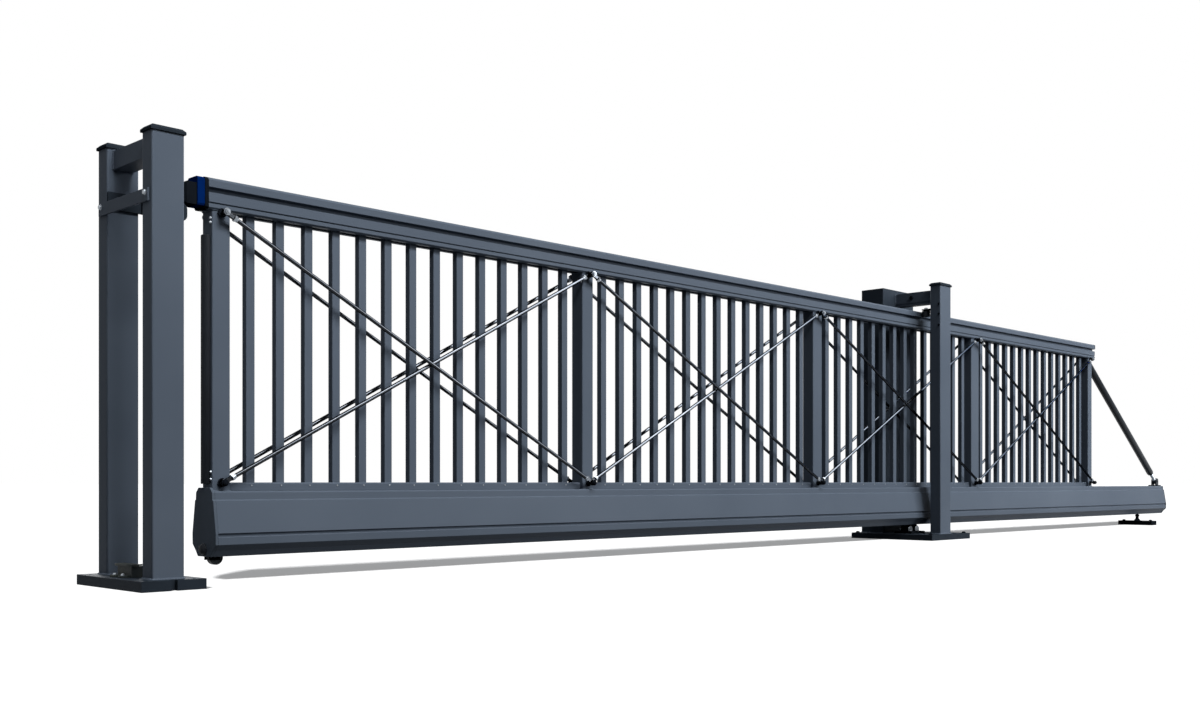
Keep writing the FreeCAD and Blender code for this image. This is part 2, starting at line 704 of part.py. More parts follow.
# End wheel under the front of the leaf, in a fork behind the front cap
WHEEL_X = "(" + LEAF_FRONT + " + end_wheel_in)"
WHEEL_Z = "(rail_clear - end_wheel_drop)"
wheel = rod("end_wheel_disc", "y", "end_wheel_dia", WHEEL_X, "-end_wheel_width / 2", WHEEL_Z,
            "end_wheel_width")
wheel_bore = rod("end_wheel_bore", "y", "end_axle_dia + 2 * end_axle_fit", WHEEL_X, "-end_wheel_width",
                 WHEEL_Z, "2 * end_wheel_width")
node("end_wheel", cut("end_wheel_body", wheel, [wheel_bore]))
FORK_IN = "(end_wheel_width / 2 + fork_play)"
FORK_START = LEAF_FRONT + " + rail_cap"
fork_pieces = []
for side in (-1, 1):
    tag = "f" if side < 0 else "b"
    y = "-" + FORK_IN + " - fork_plate" if side < 0 else FORK_IN
    fork_pieces.append(box("end_fork_cheek_" + tag, (FORK_START, "fork_length"), (y, "fork_plate"),
                           (WHEEL_Z + " - fork_below", "fork_rise + fork_below")))
fork_pieces.append(box("end_fork_bridge", (FORK_START, "fork_length"),
                       ("-" + FORK_IN + " - fork_plate", "2 * " + FORK_IN + " + 2 * fork_plate"),
                       (WHEEL_Z + " + fork_rise - fork_bridge", "fork_bridge")))
fork_pieces.append(rod("end_axle", "y", "end_axle_dia", WHEEL_X, "-" + FORK_IN + " - fork_plate", WHEEL_Z,
                       "2 * " + FORK_IN + " + 2 * fork_plate"))
node("end_wheel_fork", join("end_wheel_fork_body", fork_pieces))


def post(name, x, wide, y, top):
    """Square tube post that stands on a base plate."""
    height = top + " - plate_thick"
    solid = rounded(name + "_tube", (x + " - " + wide + " / 2", wide), (y, "post_deep"),
                    ("plate_thick", height), "post_round")
    core = box(name + "_core", (x + " - " + wide + " / 2 + post_wall", wide + " - 2 * post_wall"),
               (y + " + post_wall", "post_deep - 2 * post_wall"), ("plate_thick", height))
    return cut(name + "_body", solid, [core])


def cap(name, x, wide, y, top):
    """Flat cap with chamfered edges that overhangs its post."""
    base = box(name + "_block", (x + " - " + wide + " / 2 - cap_over", wide + " + 2 * cap_over"),
               (y + " - cap_over", "post_deep + 2 * cap_over"), (top, "cap_thick"))
    doc.recompute()
    edges = []
    for number, edge in enumerate(base.Shape.Edges, start=1):
        if abs(edge.CenterOfMass.z - base.Shape.BoundBox.ZMax) < 0.01:
            edges.append((number, read("cap_thick / 2"), read("cap_thick / 2")))
    item = doc.addObject("Part::Chamfer", name)
    item.Base = base
    item.Edges = edges
    return item


# Receiving portal
FRONT_Y = "-portal_half - post_deep"
BACK_Y = "portal_half"
RECEIVER_X = "(first_stile - receiver_reach)"
RECEIVER_BAR = "(" + TOP + " + receiver_bar_gap)"
RECEIVER_POST = "(" + RECEIVER_BAR + " + crossbar_high + receiver_post_over)"
for side, y in (("front", FRONT_Y), ("rear", BACK_Y)):
    node("receiver_%s_post" % side, post("receiver_%s_post" % side, RECEIVER_X, "receiver_post_wide", y,
                                         RECEIVER_POST))
    node("receiver_%s_cap" % side, cap("receiver_%s_cap_body" % side, RECEIVER_X, "receiver_post_wide", y,
                                       RECEIVER_POST))
plate = box("receiver_plate_block", (RECEIVER_X + " - receiver_plate_long / 2", "receiver_plate_long"),
            (FRONT_Y + " - receiver_plate_front",
             "2 * portal_half + 2 * post_deep + receiver_plate_front + receiver_plate_back"),
            ("0", "plate_thick"))
tools = []
for i, x in enumerate((RECEIVER_X + " - receiver_anchor_x", RECEIVER_X + " + receiver_anchor_x")):
    for j, y in enumerate(("-receiver_anchor_y", "receiver_anchor_y")):
        tools.append(rod("receiver_anchor_%d%d" % (i, j), "z", "anchor_dia", x, y, "-plate_thick",
                         "3 * plate_thick"))
tools.append(box("receiver_notch", (RECEIVER_X + " - notch_wide / 2", "notch_wide"),
                 (FRONT_Y + " - receiver_plate_front - notch_deep", "2 * notch_deep"),
                 ("-plate_thick", "3 * plate_thick")))
node("receiver_base_plate", cut("receiver_base_plate_body", plate, tools))


def crossbar(name, x, length, y, z):
    """Hollow bar across a portal, between two uprights."""
    solid = box(name + "_bar", (x + " - crossbar_wide / 2", "crossbar_wide"), (y, length),
                (z, "crossbar_high"))
    core = box(name + "_core", (x + " - crossbar_wide / 2 + post_wall", "crossbar_wide - 2 * post_wall"),
               (y, length), (z + " + post_wall", "crossbar_high - 2 * post_wall"))
    return cut(name + "_body", solid, [core])


node("receiver_crossbar", crossbar("receiver_crossbar", RECEIVER_X, "2 * portal_half", "-portal_half",
                                   RECEIVER_BAR))
STRAP_X = RECEIVER_X + " - receiver_post_wide / 2 - strap_thick"
node("receiver_strap", box("receiver_strap_body", (STRAP_X, "strap_thick"),
                           (FRONT_Y + " + strap_end", "2 * portal_half + 2 * post_deep - 2 * strap_end"),
                           ("top_under - strap_drop", "strap_high")))
SHOE_X = "(" + RECEIVER_X + " - shoe_back)"
shoe = box("shoe_block", (SHOE_X, "shoe_long"), ("-shoe_half", "2 * shoe_half"),
           ("plate_thick", "shoe_top - plate_thick"))
groove = box("shoe_groove", (SHOE_X + " + shoe_stop", "shoe_long"), ("-shoe_gap", "2 * shoe_gap"),
             ("shoe_bed", "shoe_top"))
node("landing_shoe", cut("landing_shoe_body", shoe, [groove]))

# Catch plates on the inner faces of the receiving posts, reaching out towards the leaf
pads = []
for side in (-1, 1):
    tag = "front" if side < 0 else "rear"
    y = "-portal_half" if side < 0 else "portal_half - pad_thick"
    drop = "pad_front_drop" if side < 0 else "pad_rear_drop"
    block = box("pad_block_" + tag,
                (RECEIVER_X + " - receiver_post_wide / 2", "receiver_post_wide + pad_over"),
                (y, "pad_thick"), ("top_under - " + drop, "pad_high"))
    doc.recompute()
    pad_edges = []
    for number, edge in enumerate(block.Shape.Edges, start=1):
        across = abs(edge.Vertexes[1].Point.y - edge.Vertexes[0].Point.y) > 0.01
        if across and abs(edge.CenterOfMass.x - block.Shape.BoundBox.XMax) < 0.01:
            pad_edges.append((number, read("pad_round"), read("pad_round")))
    pad = doc.addObject("Part::Fillet", "pad_" + tag)
    pad.Base = block
    pad.Edges = pad_edges
    pads.append(pad)
node("receiver_guide_pads", group("guide_pads", pads))

# Guide portal
GUIDE_BAR = "(" + TOP + " + guide_bar_gap)"
GUIDE_POST = "(" + GUIDE_BAR + " + crossbar_high + guide_post_over)"
COLUMN_TOP = "(" + GUIDE_BAR + " + crossbar_high + column_over)"
node("guide_front_post", post("guide_front_post", "0", "guide_post_wide", FRONT_Y, GUIDE_POST))
node("guide_front_cap", cap("guide_front_cap_body", "0", "guide_post_wide", FRONT_Y, GUIDE_POST))
COLUMN_HIGH = COLUMN_TOP + " - lid_thick - plate_thick"
column = rounded("column_tube", ("-column_wide / 2", "column_wide"), (BACK_Y, "column_deep"),
                 ("plate_thick", COLUMN_HIGH), "post_round")
column_core = box("column_core", ("-column_wide / 2 + column_wall", "column_wide - 2 * column_wall"),
                  (BACK_Y + " + column_wall", "column_deep - 2 * column_wall"), ("plate_thick", COLUMN_HIGH))
node("drive_column", cut("drive_column_body", column, [column_core]))
node("drive_column_lid", rounded("column_lid", ("-column_wide / 2", "column_wide"), (BACK_Y, "column_deep"),
                                 (COLUMN_TOP + " - lid_thick", "lid_thick"), "post_round"))
node("guide_crossbar", crossbar("guide_crossbar", "0", "2 * portal_half", "-portal_half", GUIDE_BAR))
node("guide_bar_strip", box("guide_bar_strip_body",
                            ("-crossbar_wide / 2 + strip_in", "crossbar_wide - 2 * strip_in"),
                            ("-portal_half", "2 * portal_half"),
                            (GUIDE_BAR + " - strip_thick", "strip_thick")))
guide_plate = box("guide_plate_block", ("-guide_plate_half", "2 * guide_plate_half"),
                  (FRONT_Y + " - guide_plate_front",
                   "2 * portal_half + post_deep + column_deep + guide_plate_front + guide_plate_back"),
                  ("0", "plate_thick"))
tools = []
for i, x in enumerate(("-guide_anchor_x", "guide_anchor_x")):
    for j, y in enumerate(("-guide_anchor_front", "guide_anchor_back")):
        tools.append(rod("guide_anchor_%d%d" % (i, j), "z", "anchor_dia", x, y, "-plate_thick",
                         "3 * plate_thick"))
node("guide_base_plate", cut("guide_base_plate_body", guide_plate, tools))

# Guide rollers beside the top rail, each on an arm from its upright
ROLLER_Y = "(top_half + roller_dia / 2 + roller_fit)"
ROLLER_Z = "(" + UPPER + " + roller_lift)"
ARM_Z = "(" + ROLLER_Z + " + roller_high + arm_lift)"
for side in (-1, 1):
    tag = "front" if side < 0 else "rear"
    y = "-" + ROLLER_Y if side < 0 else ROLLER_Y
    disc = rod("guide_roller_%s_disc" % tag, "z", "roller_dia", "0", y, ROLLER_Z, "roller_high")
    bore = rod("guide_roller_%s_bore" % tag, "z", "roller_pin + 2 * pin_fit", "0", y,
               ROLLER_Z + " - roller_high", "3 * roller_high")
    node("guide_roller_" + tag, cut("guide_roller_%s_body" % tag, disc, [bore]))
    reach = "portal_half - " + ROLLER_Y + " + roller_pin"
    start = "-portal_half" if side < 0 else ROLLER_Y + " - roller_pin"
    arm = box("guide_arm_%s_plate" % tag, ("-arm_wide / 2", "arm_wide"), (start, reach), (ARM_Z, "arm_thick"))
    pin = rod("guide_arm_%s_pin" % tag, "z", "roller_pin", "0", y, ROLLER_Z + " - arm_pin_below",
              "roller_high + arm_pin_below + arm_lift + arm_thick")
    rib_y = "-portal_half" if side < 0 else "portal_half - arm_thick"
    rib = box("guide_arm_%s_back" % tag, ("-arm_wide / 2", "arm_wide"), (rib_y, "arm_thick"),
              (ARM_Z + " - roller_high", "roller_high"))
    node("guide_arm_" + tag, join("guide_arm_%s_body" % tag, [arm, pin, rib]))

# Roller carriages inside the bottom rail
WHEEL_IN = "(beam_half + wheel_side)"


def carriage(name, x, beam, axle, height, stand):
    """Beam with two axles and four wheels; the stand passes down through the rail's slot."""
    pieces = [box(name + "_beam", (x + " - " + beam, "2 * " + beam), ("-beam_half", "2 * beam_half"),
                  (height + " - beam_high / 2", "beam_high"))] + stand
    wheels = []
    for i, sign in enumerate(("-", "+")):
        spot = "%s %s %s" % (x, sign, axle)
        pieces.append(rod("%s_axle_%d" % (name, i), "y", "axle_dia", spot,
                          "-%s - wheel_wide - axle_nut" % WHEEL_IN, height,
                          "2 * (%s + wheel_wide + axle_nut)" % WHEEL_IN))
        for j, y in enumerate(("-%s - wheel_wide" % WHEEL_IN, WHEEL_IN)):
            disc = rod("%s_wheel_%d%d" % (name, i, j), "y", "wheel_dia", spot, y, height, "wheel_wide")
            bore = rod("%s_bore_%d%d" % (name, i, j), "y", "axle_dia + 2 * pin_fit", spot,
                       y + " - wheel_wide", height, "3 * wheel_wide")
            wheels.append(cut("%s_tyre_%d%d" % (name, i, j), disc, [bore]))
    node(name, join(name + "_body", pieces))
    node(name + "_wheels", group(name + "_wheel_set", wheels))


FRONT_AXLE_Z = "(" + CEILING + " - wheel_seat - wheel_dia / 2)"
REAR_AXLE_Z = "(" + LIP_TOP + " + wheel_seat + wheel_dia / 2)"
FRONT_X = "(-front_carriage_back)"
REAR_X = "(" + LEAF_TAIL + " - rear_inset)"
stand = [
    box("front_stand", (FRONT_X + " - front_stand_half", "2 * front_stand_half"),
        ("-beam_half", "2 * beam_half"), ("plate_thick", FRONT_AXLE_Z + " - plate_thick")),
    box("front_foot", (FRONT_X + " - front_foot_half", "2 * front_foot_half"),
        ("-front_foot_wide", "2 * front_foot_wide"), ("plate_thick", "front_foot_thick")),
]
for i, sign in enumerate(("-", "+")):
    stand.append(rod("front_cam_%d" % i, "y", "cam_dia", "%s %s cam_half" % (FRONT_X, sign),
                     "-beam_half - cam_thick", "plate_thick + cam_rise", "2 * (beam_half + cam_thick)"))
carriage("front_carriage", FRONT_X, "front_beam_half", "front_axle_half", FRONT_AXLE_Z, stand)
stand = [
    rod("rear_stem", "z", "stem_dia", REAR_X, "0", "plate_thick", REAR_AXLE_Z + " - plate_thick"),
    cone("rear_stem_foot", "stem_foot", "stem_dia", REAR_X, "plate_thick", "stem_foot_high"),
    cone("rear_stem_head", "stem_dia", "stem_head", REAR_X, "rail_clear - stem_head_drop - stem_head_high",
         "stem_head_high"),
]
carriage("rear_carriage", REAR_X, "rear_beam_half", "rear_axle_half", REAR_AXLE_Z, stand)
rear_plate = box("rear_plate_block", (REAR_X + " - rear_plate_long / 2", "rear_plate_long"),
                 ("-rear_plate_half", "2 * rear_plate_half"), ("0", "plate_thick"))
tools = []
for i, y in enumerate(("-rear_anchor_y", "rear_anchor_y")):
    tools.append(rod("rear_anchor_%d" % i, "z", "anchor_dia", REAR_X, y, "-plate_thick", "3 * plate_thick"))
node("rear_base_plate", cut("rear_base_plate_body", rear_plate, tools))

# Build, test and write each piece
doc.recompute()
for item in doc.Objects:
    bad = [state for state in item.State if state in ("Invalid", "Error")]
    if bad:
        raise RuntimeError("%s is %s" % (item.Name, bad))
os.makedirs("parts", exist_ok=True)
for name, item in nodes.items():
    shape = item.Shape
    if shape.isNull() or not shape.isValid():
        raise RuntimeError("bad shape in " + name)
    shape.exportStep("parts/%s.step" % name)
    size = shape.BoundBox
    print("%-24s solids %3d  volume %8.2f l  z %7.1f to %7.1f"
          % (name, len(shape.Solids), shape.Volume / 1e6, size.ZMin, size.ZMax))
print("nodes", len(nodes))
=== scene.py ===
# %% [markdown]
# # A cantilever sliding gate, dressed for its portrait
# The solids of the gate come from the drawing office as a fixed frame: rails, pickets, posts, tie rods
# and carriages, each in its own node and already in place. This lesson gives every node a finish, adds
# the fittings that are too small for the solids, and sets up the light and the camera.

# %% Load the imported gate
import math

import bmesh
import bpy
import numpy as np
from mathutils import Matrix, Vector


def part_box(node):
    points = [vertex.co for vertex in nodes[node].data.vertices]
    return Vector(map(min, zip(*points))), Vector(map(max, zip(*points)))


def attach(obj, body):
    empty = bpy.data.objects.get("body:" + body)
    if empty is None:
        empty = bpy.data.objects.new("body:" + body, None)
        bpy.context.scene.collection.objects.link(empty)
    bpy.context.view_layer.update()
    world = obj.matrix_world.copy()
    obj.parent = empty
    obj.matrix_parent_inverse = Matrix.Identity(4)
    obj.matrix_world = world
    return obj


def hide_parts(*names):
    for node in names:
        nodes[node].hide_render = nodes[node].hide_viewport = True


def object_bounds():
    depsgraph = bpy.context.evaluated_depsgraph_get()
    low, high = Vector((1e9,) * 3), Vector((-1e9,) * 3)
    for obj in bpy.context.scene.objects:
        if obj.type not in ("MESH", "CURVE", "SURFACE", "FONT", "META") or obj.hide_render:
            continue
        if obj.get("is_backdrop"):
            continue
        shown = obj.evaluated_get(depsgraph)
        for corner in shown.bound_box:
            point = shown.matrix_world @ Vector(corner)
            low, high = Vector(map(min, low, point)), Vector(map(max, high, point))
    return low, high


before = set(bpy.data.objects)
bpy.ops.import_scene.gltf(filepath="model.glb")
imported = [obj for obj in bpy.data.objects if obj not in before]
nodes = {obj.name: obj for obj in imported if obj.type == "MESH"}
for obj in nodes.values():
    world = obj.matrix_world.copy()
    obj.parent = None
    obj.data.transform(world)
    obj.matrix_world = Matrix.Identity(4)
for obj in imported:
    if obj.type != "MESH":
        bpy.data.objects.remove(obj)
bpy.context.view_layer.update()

# %% [markdown]
# ## The camera
# The gate is seen from near the ground, close to the receiving portal, so its far end looks small. The
# camera could be tilted up, but then the posts would lean. It stays level, which keeps every post
# upright in the picture, and the lens is shifted up instead, as an architect's camera would be. The
# focal length and the place were solved from the pitch of the pickets.

# %% Camera
EYE = (-8.102, -4.691, 0.406)
YAW = math.radians(45.72)
SENSOR_MM, LENS_MM, LENS_RISE, SEES_TO = 36, 37.53, 0.102, 400


def placed(name, data):
    """New object for a mesh, a lamp or a camera, at the origin and linked to the scene."""
    made = bpy.data.objects.new(name, data)
    bpy.context.scene.collection.objects.link(made)
    return made


lens = bpy.data.cameras.new("portrait_lens")
lens.sensor_width = SENSOR_MM
lens.lens = LENS_MM
lens.shift_y = LENS_RISE
lens.clip_end = SEES_TO
camera = placed("portrait_camera", lens)
camera.location = EYE
camera.rotation_euler = (math.pi / 2, 0, -YAW)
bpy.context.scene.camera = camera
print("camera", EYE, "lens", LENS_MM)

# %% [markdown]
# ## Words for colours and nodes
# Colours are written as sRGB hex, the way a paint chart gives them, and the shader wants linear light.
# A node tree could be wired in the editor, but a script can be read and changed. It is easiest to read
# when one small function adds a node, sets it and wires it at once.


# %% Colour and node helpers
def linear(text):
    """Linear RGBA of an sRGB hex colour: each channel goes through the sRGB curve."""
    channels = np.array([int(text[i:i + 2], 16) for i in (1, 3, 5)]) / 255
    curve = np.where(channels <= 0.04045, channels / 12.92, ((channels + 0.055) / 1.055) ** 2.4)
    return (*curve.tolist(), 1.0)


def add(tree, kind, sockets=None, **settings):
    """Add one node. Settings are its properties; a socket is a value, or a (node, output) pair to wire."""
    made = tree.nodes.new(kind)
    for name, value in settings.items():
        setattr(made, name, value)
    for name, value in (sockets or {}).items():
        if isinstance(value, tuple) and isinstance(value[0], bpy.types.Node):
            tree.links.new(value[0].outputs[value[1]], made.inputs[name])
        else:
            made.inputs[name].default_value = value
    return made


print("anthracite in linear light", [round(c, 3) for c in linear("#4B5460")])

# %% [markdown]
# ## Finishes
# Almost everything here is steel or aluminium under one coat of anthracite powder paint. Powder melts
# into a skin with a faint orange peel and soft clouds of colour, so the eye sees a flat grey that is
# never quite even. A painted image could show that, but it would need unwrapping. A finish below mixes
# two near colours by a large cloud of noise, and a fine grain moves the roughness and is raised as
# bump. On drawn or extruded stock the grain is stretched along the bar. Grain finer than a few
# millimetres can't show at this distance, so it is drawn as coarse as it needs to be seen.

# %% One maker for all finishes
MM = 0.001
CLOUD_SPAN, GRAIN_SPAN = (0.3, 0.7), (0.25, 0.75)
BUMP_STRENGTH = 0.35


def finish(name, dark, light, cloud_mm, grain_mm, grain_high, rough, stretch=(1, 1, 1), **sockets):
    """Procedural finish: cloud noise mixes two colours, grain noise is the roughness and the bump.

    Patch of cloud, grain and height of the grain are in millimetres, and rough is the range of the
    roughness. The noise scale is one over the size of a patch in metres. Other sockets are set on the
    shader by their names.
    """
    made = bpy.data.materials.new(name)
    made.use_nodes = True
    tree = made.node_tree
    tree.nodes.clear()
    place = add(tree, "ShaderNodeTexCoord")
    drawn = add(tree, "ShaderNodeMapping", {"Vector": (place, "Object"), "Scale": stretch})
    cloud = add(tree, "ShaderNodeTexNoise", {"Vector": (place, "Object"), "Scale": 1 / (cloud_mm * MM),
                                             "Detail": 4.0, "Roughness": 0.6})
    grain = add(tree, "ShaderNodeTexNoise", {"Vector": (drawn, "Vector"), "Scale": 1 / (grain_mm * MM),
                                             "Detail": 3.0, "Roughness": 0.55})
    blend = add(tree, "ShaderNodeMapRange", {"Value": (cloud, "Fac"), "From Min": CLOUD_SPAN[0],
                                             "From Max": CLOUD_SPAN[1]})
    colour = add(tree, "ShaderNodeMix", {0: (blend, "Result"), 6: linear(dark), 7: linear(light)},
                 data_type="RGBA")
    gloss = add(tree, "ShaderNodeMapRange", {"Value": (grain, "Fac"), "From Min": GRAIN_SPAN[0],
                                             "From Max": GRAIN_SPAN[1], "To Min": rough[0],
                                             "To Max": rough[1]})
    relief = add(tree, "ShaderNodeBump", {"Height": (grain, "Fac"), "Strength": BUMP_STRENGTH,
                                          "Distance": grain_high * MM})
    shader = add(tree, "ShaderNodeBsdfPrincipled",
                 {"Base Color": (colour, 2), "Roughness": (gloss, "Result"), "Normal": (relief, "Normal")})
    for socket, value in sockets.items():
        shader.inputs[socket.replace("_", " ")].default_value = value
    add(tree, "ShaderNodeOutputMaterial", {"Surface": (shader, "BSDF")})
    return made


# Powder paint on welded steel: satin, with a fine peel; peel of 2 mm is drawn at 7 mm to show
COAT = finish("anthracite_powder_coat", "#4B5460", "#535C68", 900, 7, 0.25, (0.42, 0.56),
              Specular_IOR_Level=0.02, IOR=1.5)
print("main finish", COAT.name)

# %% Other paints
# The same paint on extruded aluminium: the drawing lines of the die run along the bar
EXTRUDED = finish("anthracite_coat_on_extrusion", "#4B5460", "#535C68", 1400, 9, 0.25, (0.38, 0.5),
                  stretch=(0.02, 1, 1), Specular_IOR_Level=0.02, IOR=1.5)
# A darker batch of the same paint on the thick base plates, rougher where feet and grit scour it
PLATE = finish("scuffed_plate_coat", "#1F252C", "#272E36", 260, 6, 0.35, (0.5, 0.68),
               Specular_IOR_Level=0.03, IOR=1.5)
# The same paint made darker on the drive column, its lid and its door: painted shade,
# as the column stands in shadow behind the leaf and the guide crossbar
SHADED_COLUMN_COAT = finish("anthracite_coat_with_painted_shade", "#2D343D", "#343C45", 900, 7, 0.25, (0.42, 0.56),
                Specular_IOR_Level=0.02, IOR=1.5)
# Black powder paint on small brackets and forgings: flat and almost without shine
BLACK = finish("black_powder_coat", "#101317", "#161A20", 300, 5, 0.25, (0.45, 0.6),
               Specular_IOR_Level=0.0, IOR=1.5)
# Satin black on the strut: a tube that shows one soft line of light
SATIN = finish("satin_black_coat", "#1B2026", "#23292F", 400, 6, 0.15, (0.36, 0.46),
               Specular_IOR_Level=0.12, IOR=1.5)
print("other paints", [look.name for look in (EXTRUDED, PLATE, SHADED_COLUMN_COAT, BLACK, SATIN)])

# %% Bare metal, plastic and rubber
# Drawn tie rods, blackened and oiled: a dark mirror with one thin bright line where a lamp meets it
ROD = finish("blackened_drawn_steel", "#202225", "#282A2D", 500, 6, 0.05, (0.14, 0.2),
             stretch=(0.2, 1, 1), Metallic=1.0, Specular_Tint=(0.1, 0.1, 0.1, 1))
# Stainless steel for the strut's screw, bolts and nuts: turned, so bright with a short grain
STEEL = finish("turned_stainless_steel", "#7A8087", "#90969C", 120, 3, 0.12, (0.28, 0.42), Metallic=1.0)
# Olive-black phosphated casting of the landing shoe: dull and grainy
CAST = finish("phosphated_cast_iron", "#23282A", "#2F3431", 90, 6, 0.5, (0.5, 0.68),
              Specular_IOR_Level=0.1, IOR=1.6)
# Moulded polyamide caps: matt, spark-eroded grain
TRIM = finish("moulded_black_polyamide", "#23292F", "#2B323A", 220, 4, 0.3, (0.5, 0.66),
              Specular_IOR_Level=0.0, IOR=1.53)
# Moulded end cap in the colour of the coat, a little darker and quite matt
CAP = finish("moulded_cap_in_coat_colour", "#49525D", "#515A65", 260, 5, 0.3, (0.5, 0.64),
             Specular_IOR_Level=0.02, IOR=1.53)
# Cast polyamide rollers, dark and slightly waxy
NYLON = finish("cast_polyamide_rollers", "#1D2126", "#262B31", 120, 4, 0.15, (0.34, 0.46),
               Specular_IOR_Level=0.1, IOR=1.53)
# Blue moulded buffer block: one deep, even spot of colour
BLUE = finish("blue_moulded_buffer", "#021B4C", "#03235C", 140, 4, 0.2, (0.44, 0.56),
              Specular_IOR_Level=0.0, IOR=1.5)
# Extruded rubber of the safety edge: matt, with fine lines along the strip
RUBBER = finish("extruded_edge_rubber", "#14171B", "#1B1F25", 200, 4, 0.25, (0.62, 0.78),
                stretch=(1, 1, 0.05), Specular_IOR_Level=0.12, IOR=1.52)
print("without paint", [look.name for look in (ROD, STEEL, CAST, TRIM, CAP, NYLON, BLUE, RUBBER)])

# %% [markdown]
# ## Finishes on the solids
# Each node gets the finish of the real piece. Sheet and tube never have knife edges, so most solids also
# get a narrow rounding. It could be cut into the meshes for good, but as modifiers it leaves them as
# they came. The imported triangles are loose, so they are first welded, flat faces are joined again, and
# only then are the sharp edges rounded. Tie rods and stiles go without: the normals that came with them
# already make a rod shine as one long line, and a weld at its ends would bend that line.

# %% Dress the nodes
EDGE_MM = 1.2
EDGE_MM_OF = {"pickets": 2.0, "stile": 0.0, "tie_rods": 0.0, "bottom_rail": 2.0, "top_rail": 1.6}
WELD_GAP, FLAT_DEGREES, SHARP_DEGREES, EDGE_STEPS = 0.00002, 0.6, 38, 2
NODES_OF = {
    EXTRUDED: "bottom_rail top_rail lower_channels",
    SATIN: "tail_strut strut_eye strut_bracket",
    # the drive column and its lid take the coat darkened as painted shade
    SHADED_COLUMN_COAT: "drive_column drive_column_lid",
    PLATE: "receiver_base_plate guide_base_plate",
    BLACK: "guide_arm_front guide_arm_rear end_wheel_fork bracing_pins front_carriage rear_carriage "
           "rear_base_plate nose_plate nose_tip",
    TRIM: "top_rail_tail_cap tail_rail_cap receiver_guide_pads receiver_front_cap receiver_rear_cap "
          "guide_front_cap",
    CAP: "front_rail_cap",
    ROD: "tie_rods_front tie_rods_back rod_eyes_front rod_eyes_back",
    STEEL: "strut_screw",
    CAST: "landing_shoe",
    BLUE: "nose_block",
    RUBBER: "safety_edge",
    NYLON: "end_wheel guide_roller_front guide_roller_rear front_carriage_wheels rear_carriage_wheels",
}
finish_of = {name: look for look, names in NODES_OF.items() for name in names.split()}
for name, solid in nodes.items():
    solid.data.materials.clear()
    solid.data.materials.append(finish_of.get(name, COAT))
    edge_mm = next((v for k, v in EDGE_MM_OF.items() if name.startswith(k)), EDGE_MM)
    if edge_mm == 0:
        continue
    weld = solid.modifiers.new("weld", "WELD")
    weld.merge_threshold = WELD_GAP
    flat = solid.modifiers.new("flat", "DECIMATE")
    flat.decimate_type = "DISSOLVE"
    flat.angle_limit = math.radians(FLAT_DEGREES)
    edge = solid.modifiers.new("soft_edge", "BEVEL")
    edge.width = edge_mm * MM
    edge.segments = EDGE_STEPS
    edge.limit_method = "ANGLE"
    edge.angle_limit = math.radians(SHARP_DEGREES)
    edge.harden_normals = True
print("dressed", len(nodes), "nodes,", len(nodes) - len(finish_of), "of them in the plain coat")

# %% [markdown]
# ## Surfaces from arrays
# Screws, wheels, beads and strips are all one idea: a profile carried round an axis or along a path.
# They could be modelled by hand or spun in edit mode. Here numpy works out every point at once as a
# grid, and the faces follow from the grid's own numbering, so each piece is a short formula that can be
# measured and changed.

# %% Grid helpers
LEFT, RIGHT, FRONT, BACK, DOWN, UP = (-1, 0, 0), (1, 0, 0), (0, -1, 0), (0, 1, 0), (0, 0, -1), (0, 0, 1)


def box(name):
    """Lowest and highest corner of a node, as two arrays."""
    low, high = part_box(name)
    return np.array(low), np.array(high)


def middle(name):
    """Centre of a node's box."""
    low, high = box(name)
    return (low + high) / 2


def skin(points, wrap_u=False, wrap_v=False):
    """Quads over a grid of points (u, v, xyz); a wrapped side joins its last row to its first."""
    rows, columns = points.shape[:2]
    i = np.arange(rows if wrap_u else rows - 1)[:, None]
    j = np.arange(columns if wrap_v else columns - 1)[None, :]
    here, below, right = i * columns, (i + 1) % rows * columns, (j + 1) % columns
    quads = np.stack([here + j, below + j, below + right, here + right], -1)
    return points.reshape(-1, 3), quads.reshape(-1, 4)


print("directions", LEFT, RIGHT, FRONT, BACK, DOWN, UP)

# %% Turned shapes
CHAMFER_FROM, TOP_SHARE = 0.8, 0.47


def circle(steps):
    """Even angles round a full turn, without the last one that would repeat the first."""
    return np.arange(steps) * 2 * np.pi / steps


def around(ring, height):
    """Points round the Z axis: the cosine and the sine of each angle times the ring's radius there."""
    angle = circle(len(ring))[:, None]
    return np.stack([ring * np.cos(angle), ring * np.sin(angle), np.broadcast_to(height, ring.shape)], -1)


def turned(profile_mm, steps=24, flats=0.0):
    """Surface of revolution: each (radius, height) of a profile goes round the Z axis.

    With flats, every radius is cut to a hexagon that wide: half the width over the cosine of the angle
    to the nearest flat.
    """
    radius, height = np.array(profile_mm, float).T * MM
    ring = np.broadcast_to(radius, (steps, len(radius)))
    if flats:
        from_flat = (circle(steps) + np.pi / 6) % (np.pi / 3) - np.pi / 6
        ring = np.minimum(ring, flats * MM / 2 / np.cos(from_flat)[:, None])
    return around(ring, height)


def hex_head(flats, high, sunk=1.0):
    """Profile of a hexagon head: rows past the corners, which the flats cut, then a chamfered top."""
    return turned([(0, -sunk), (flats, -sunk), (flats, high * CHAMFER_FROM), (flats * TOP_SHARE, high),
                   (0, high)], flats=flats)


def disc(radius, high, edge, sunk=1.0):
    """Profile of a washer or a low round head with a broken edge."""
    return turned([(0, -sunk), (radius, -sunk), (radius, high - edge), (radius - edge, high), (0, high)])


print("a 24 mm head is a grid of", hex_head(24, 9).shape[:2], "points")

# %% Copies at many spots
TO_BACK = (1, -1, 1)
# A direction that no axis here is parallel to
ASKEW = (0.31, 0.47, 0.83)


def aimed(points, axis):
    """The same points with their Z turned to an axis, by a right-handed set of three directions."""
    axis = np.array(axis, float) / np.linalg.norm(axis)
    side = np.cross(axis, ASKEW)
    side /= np.linalg.norm(side)
    return points @ np.stack([side, np.cross(axis, side), axis])


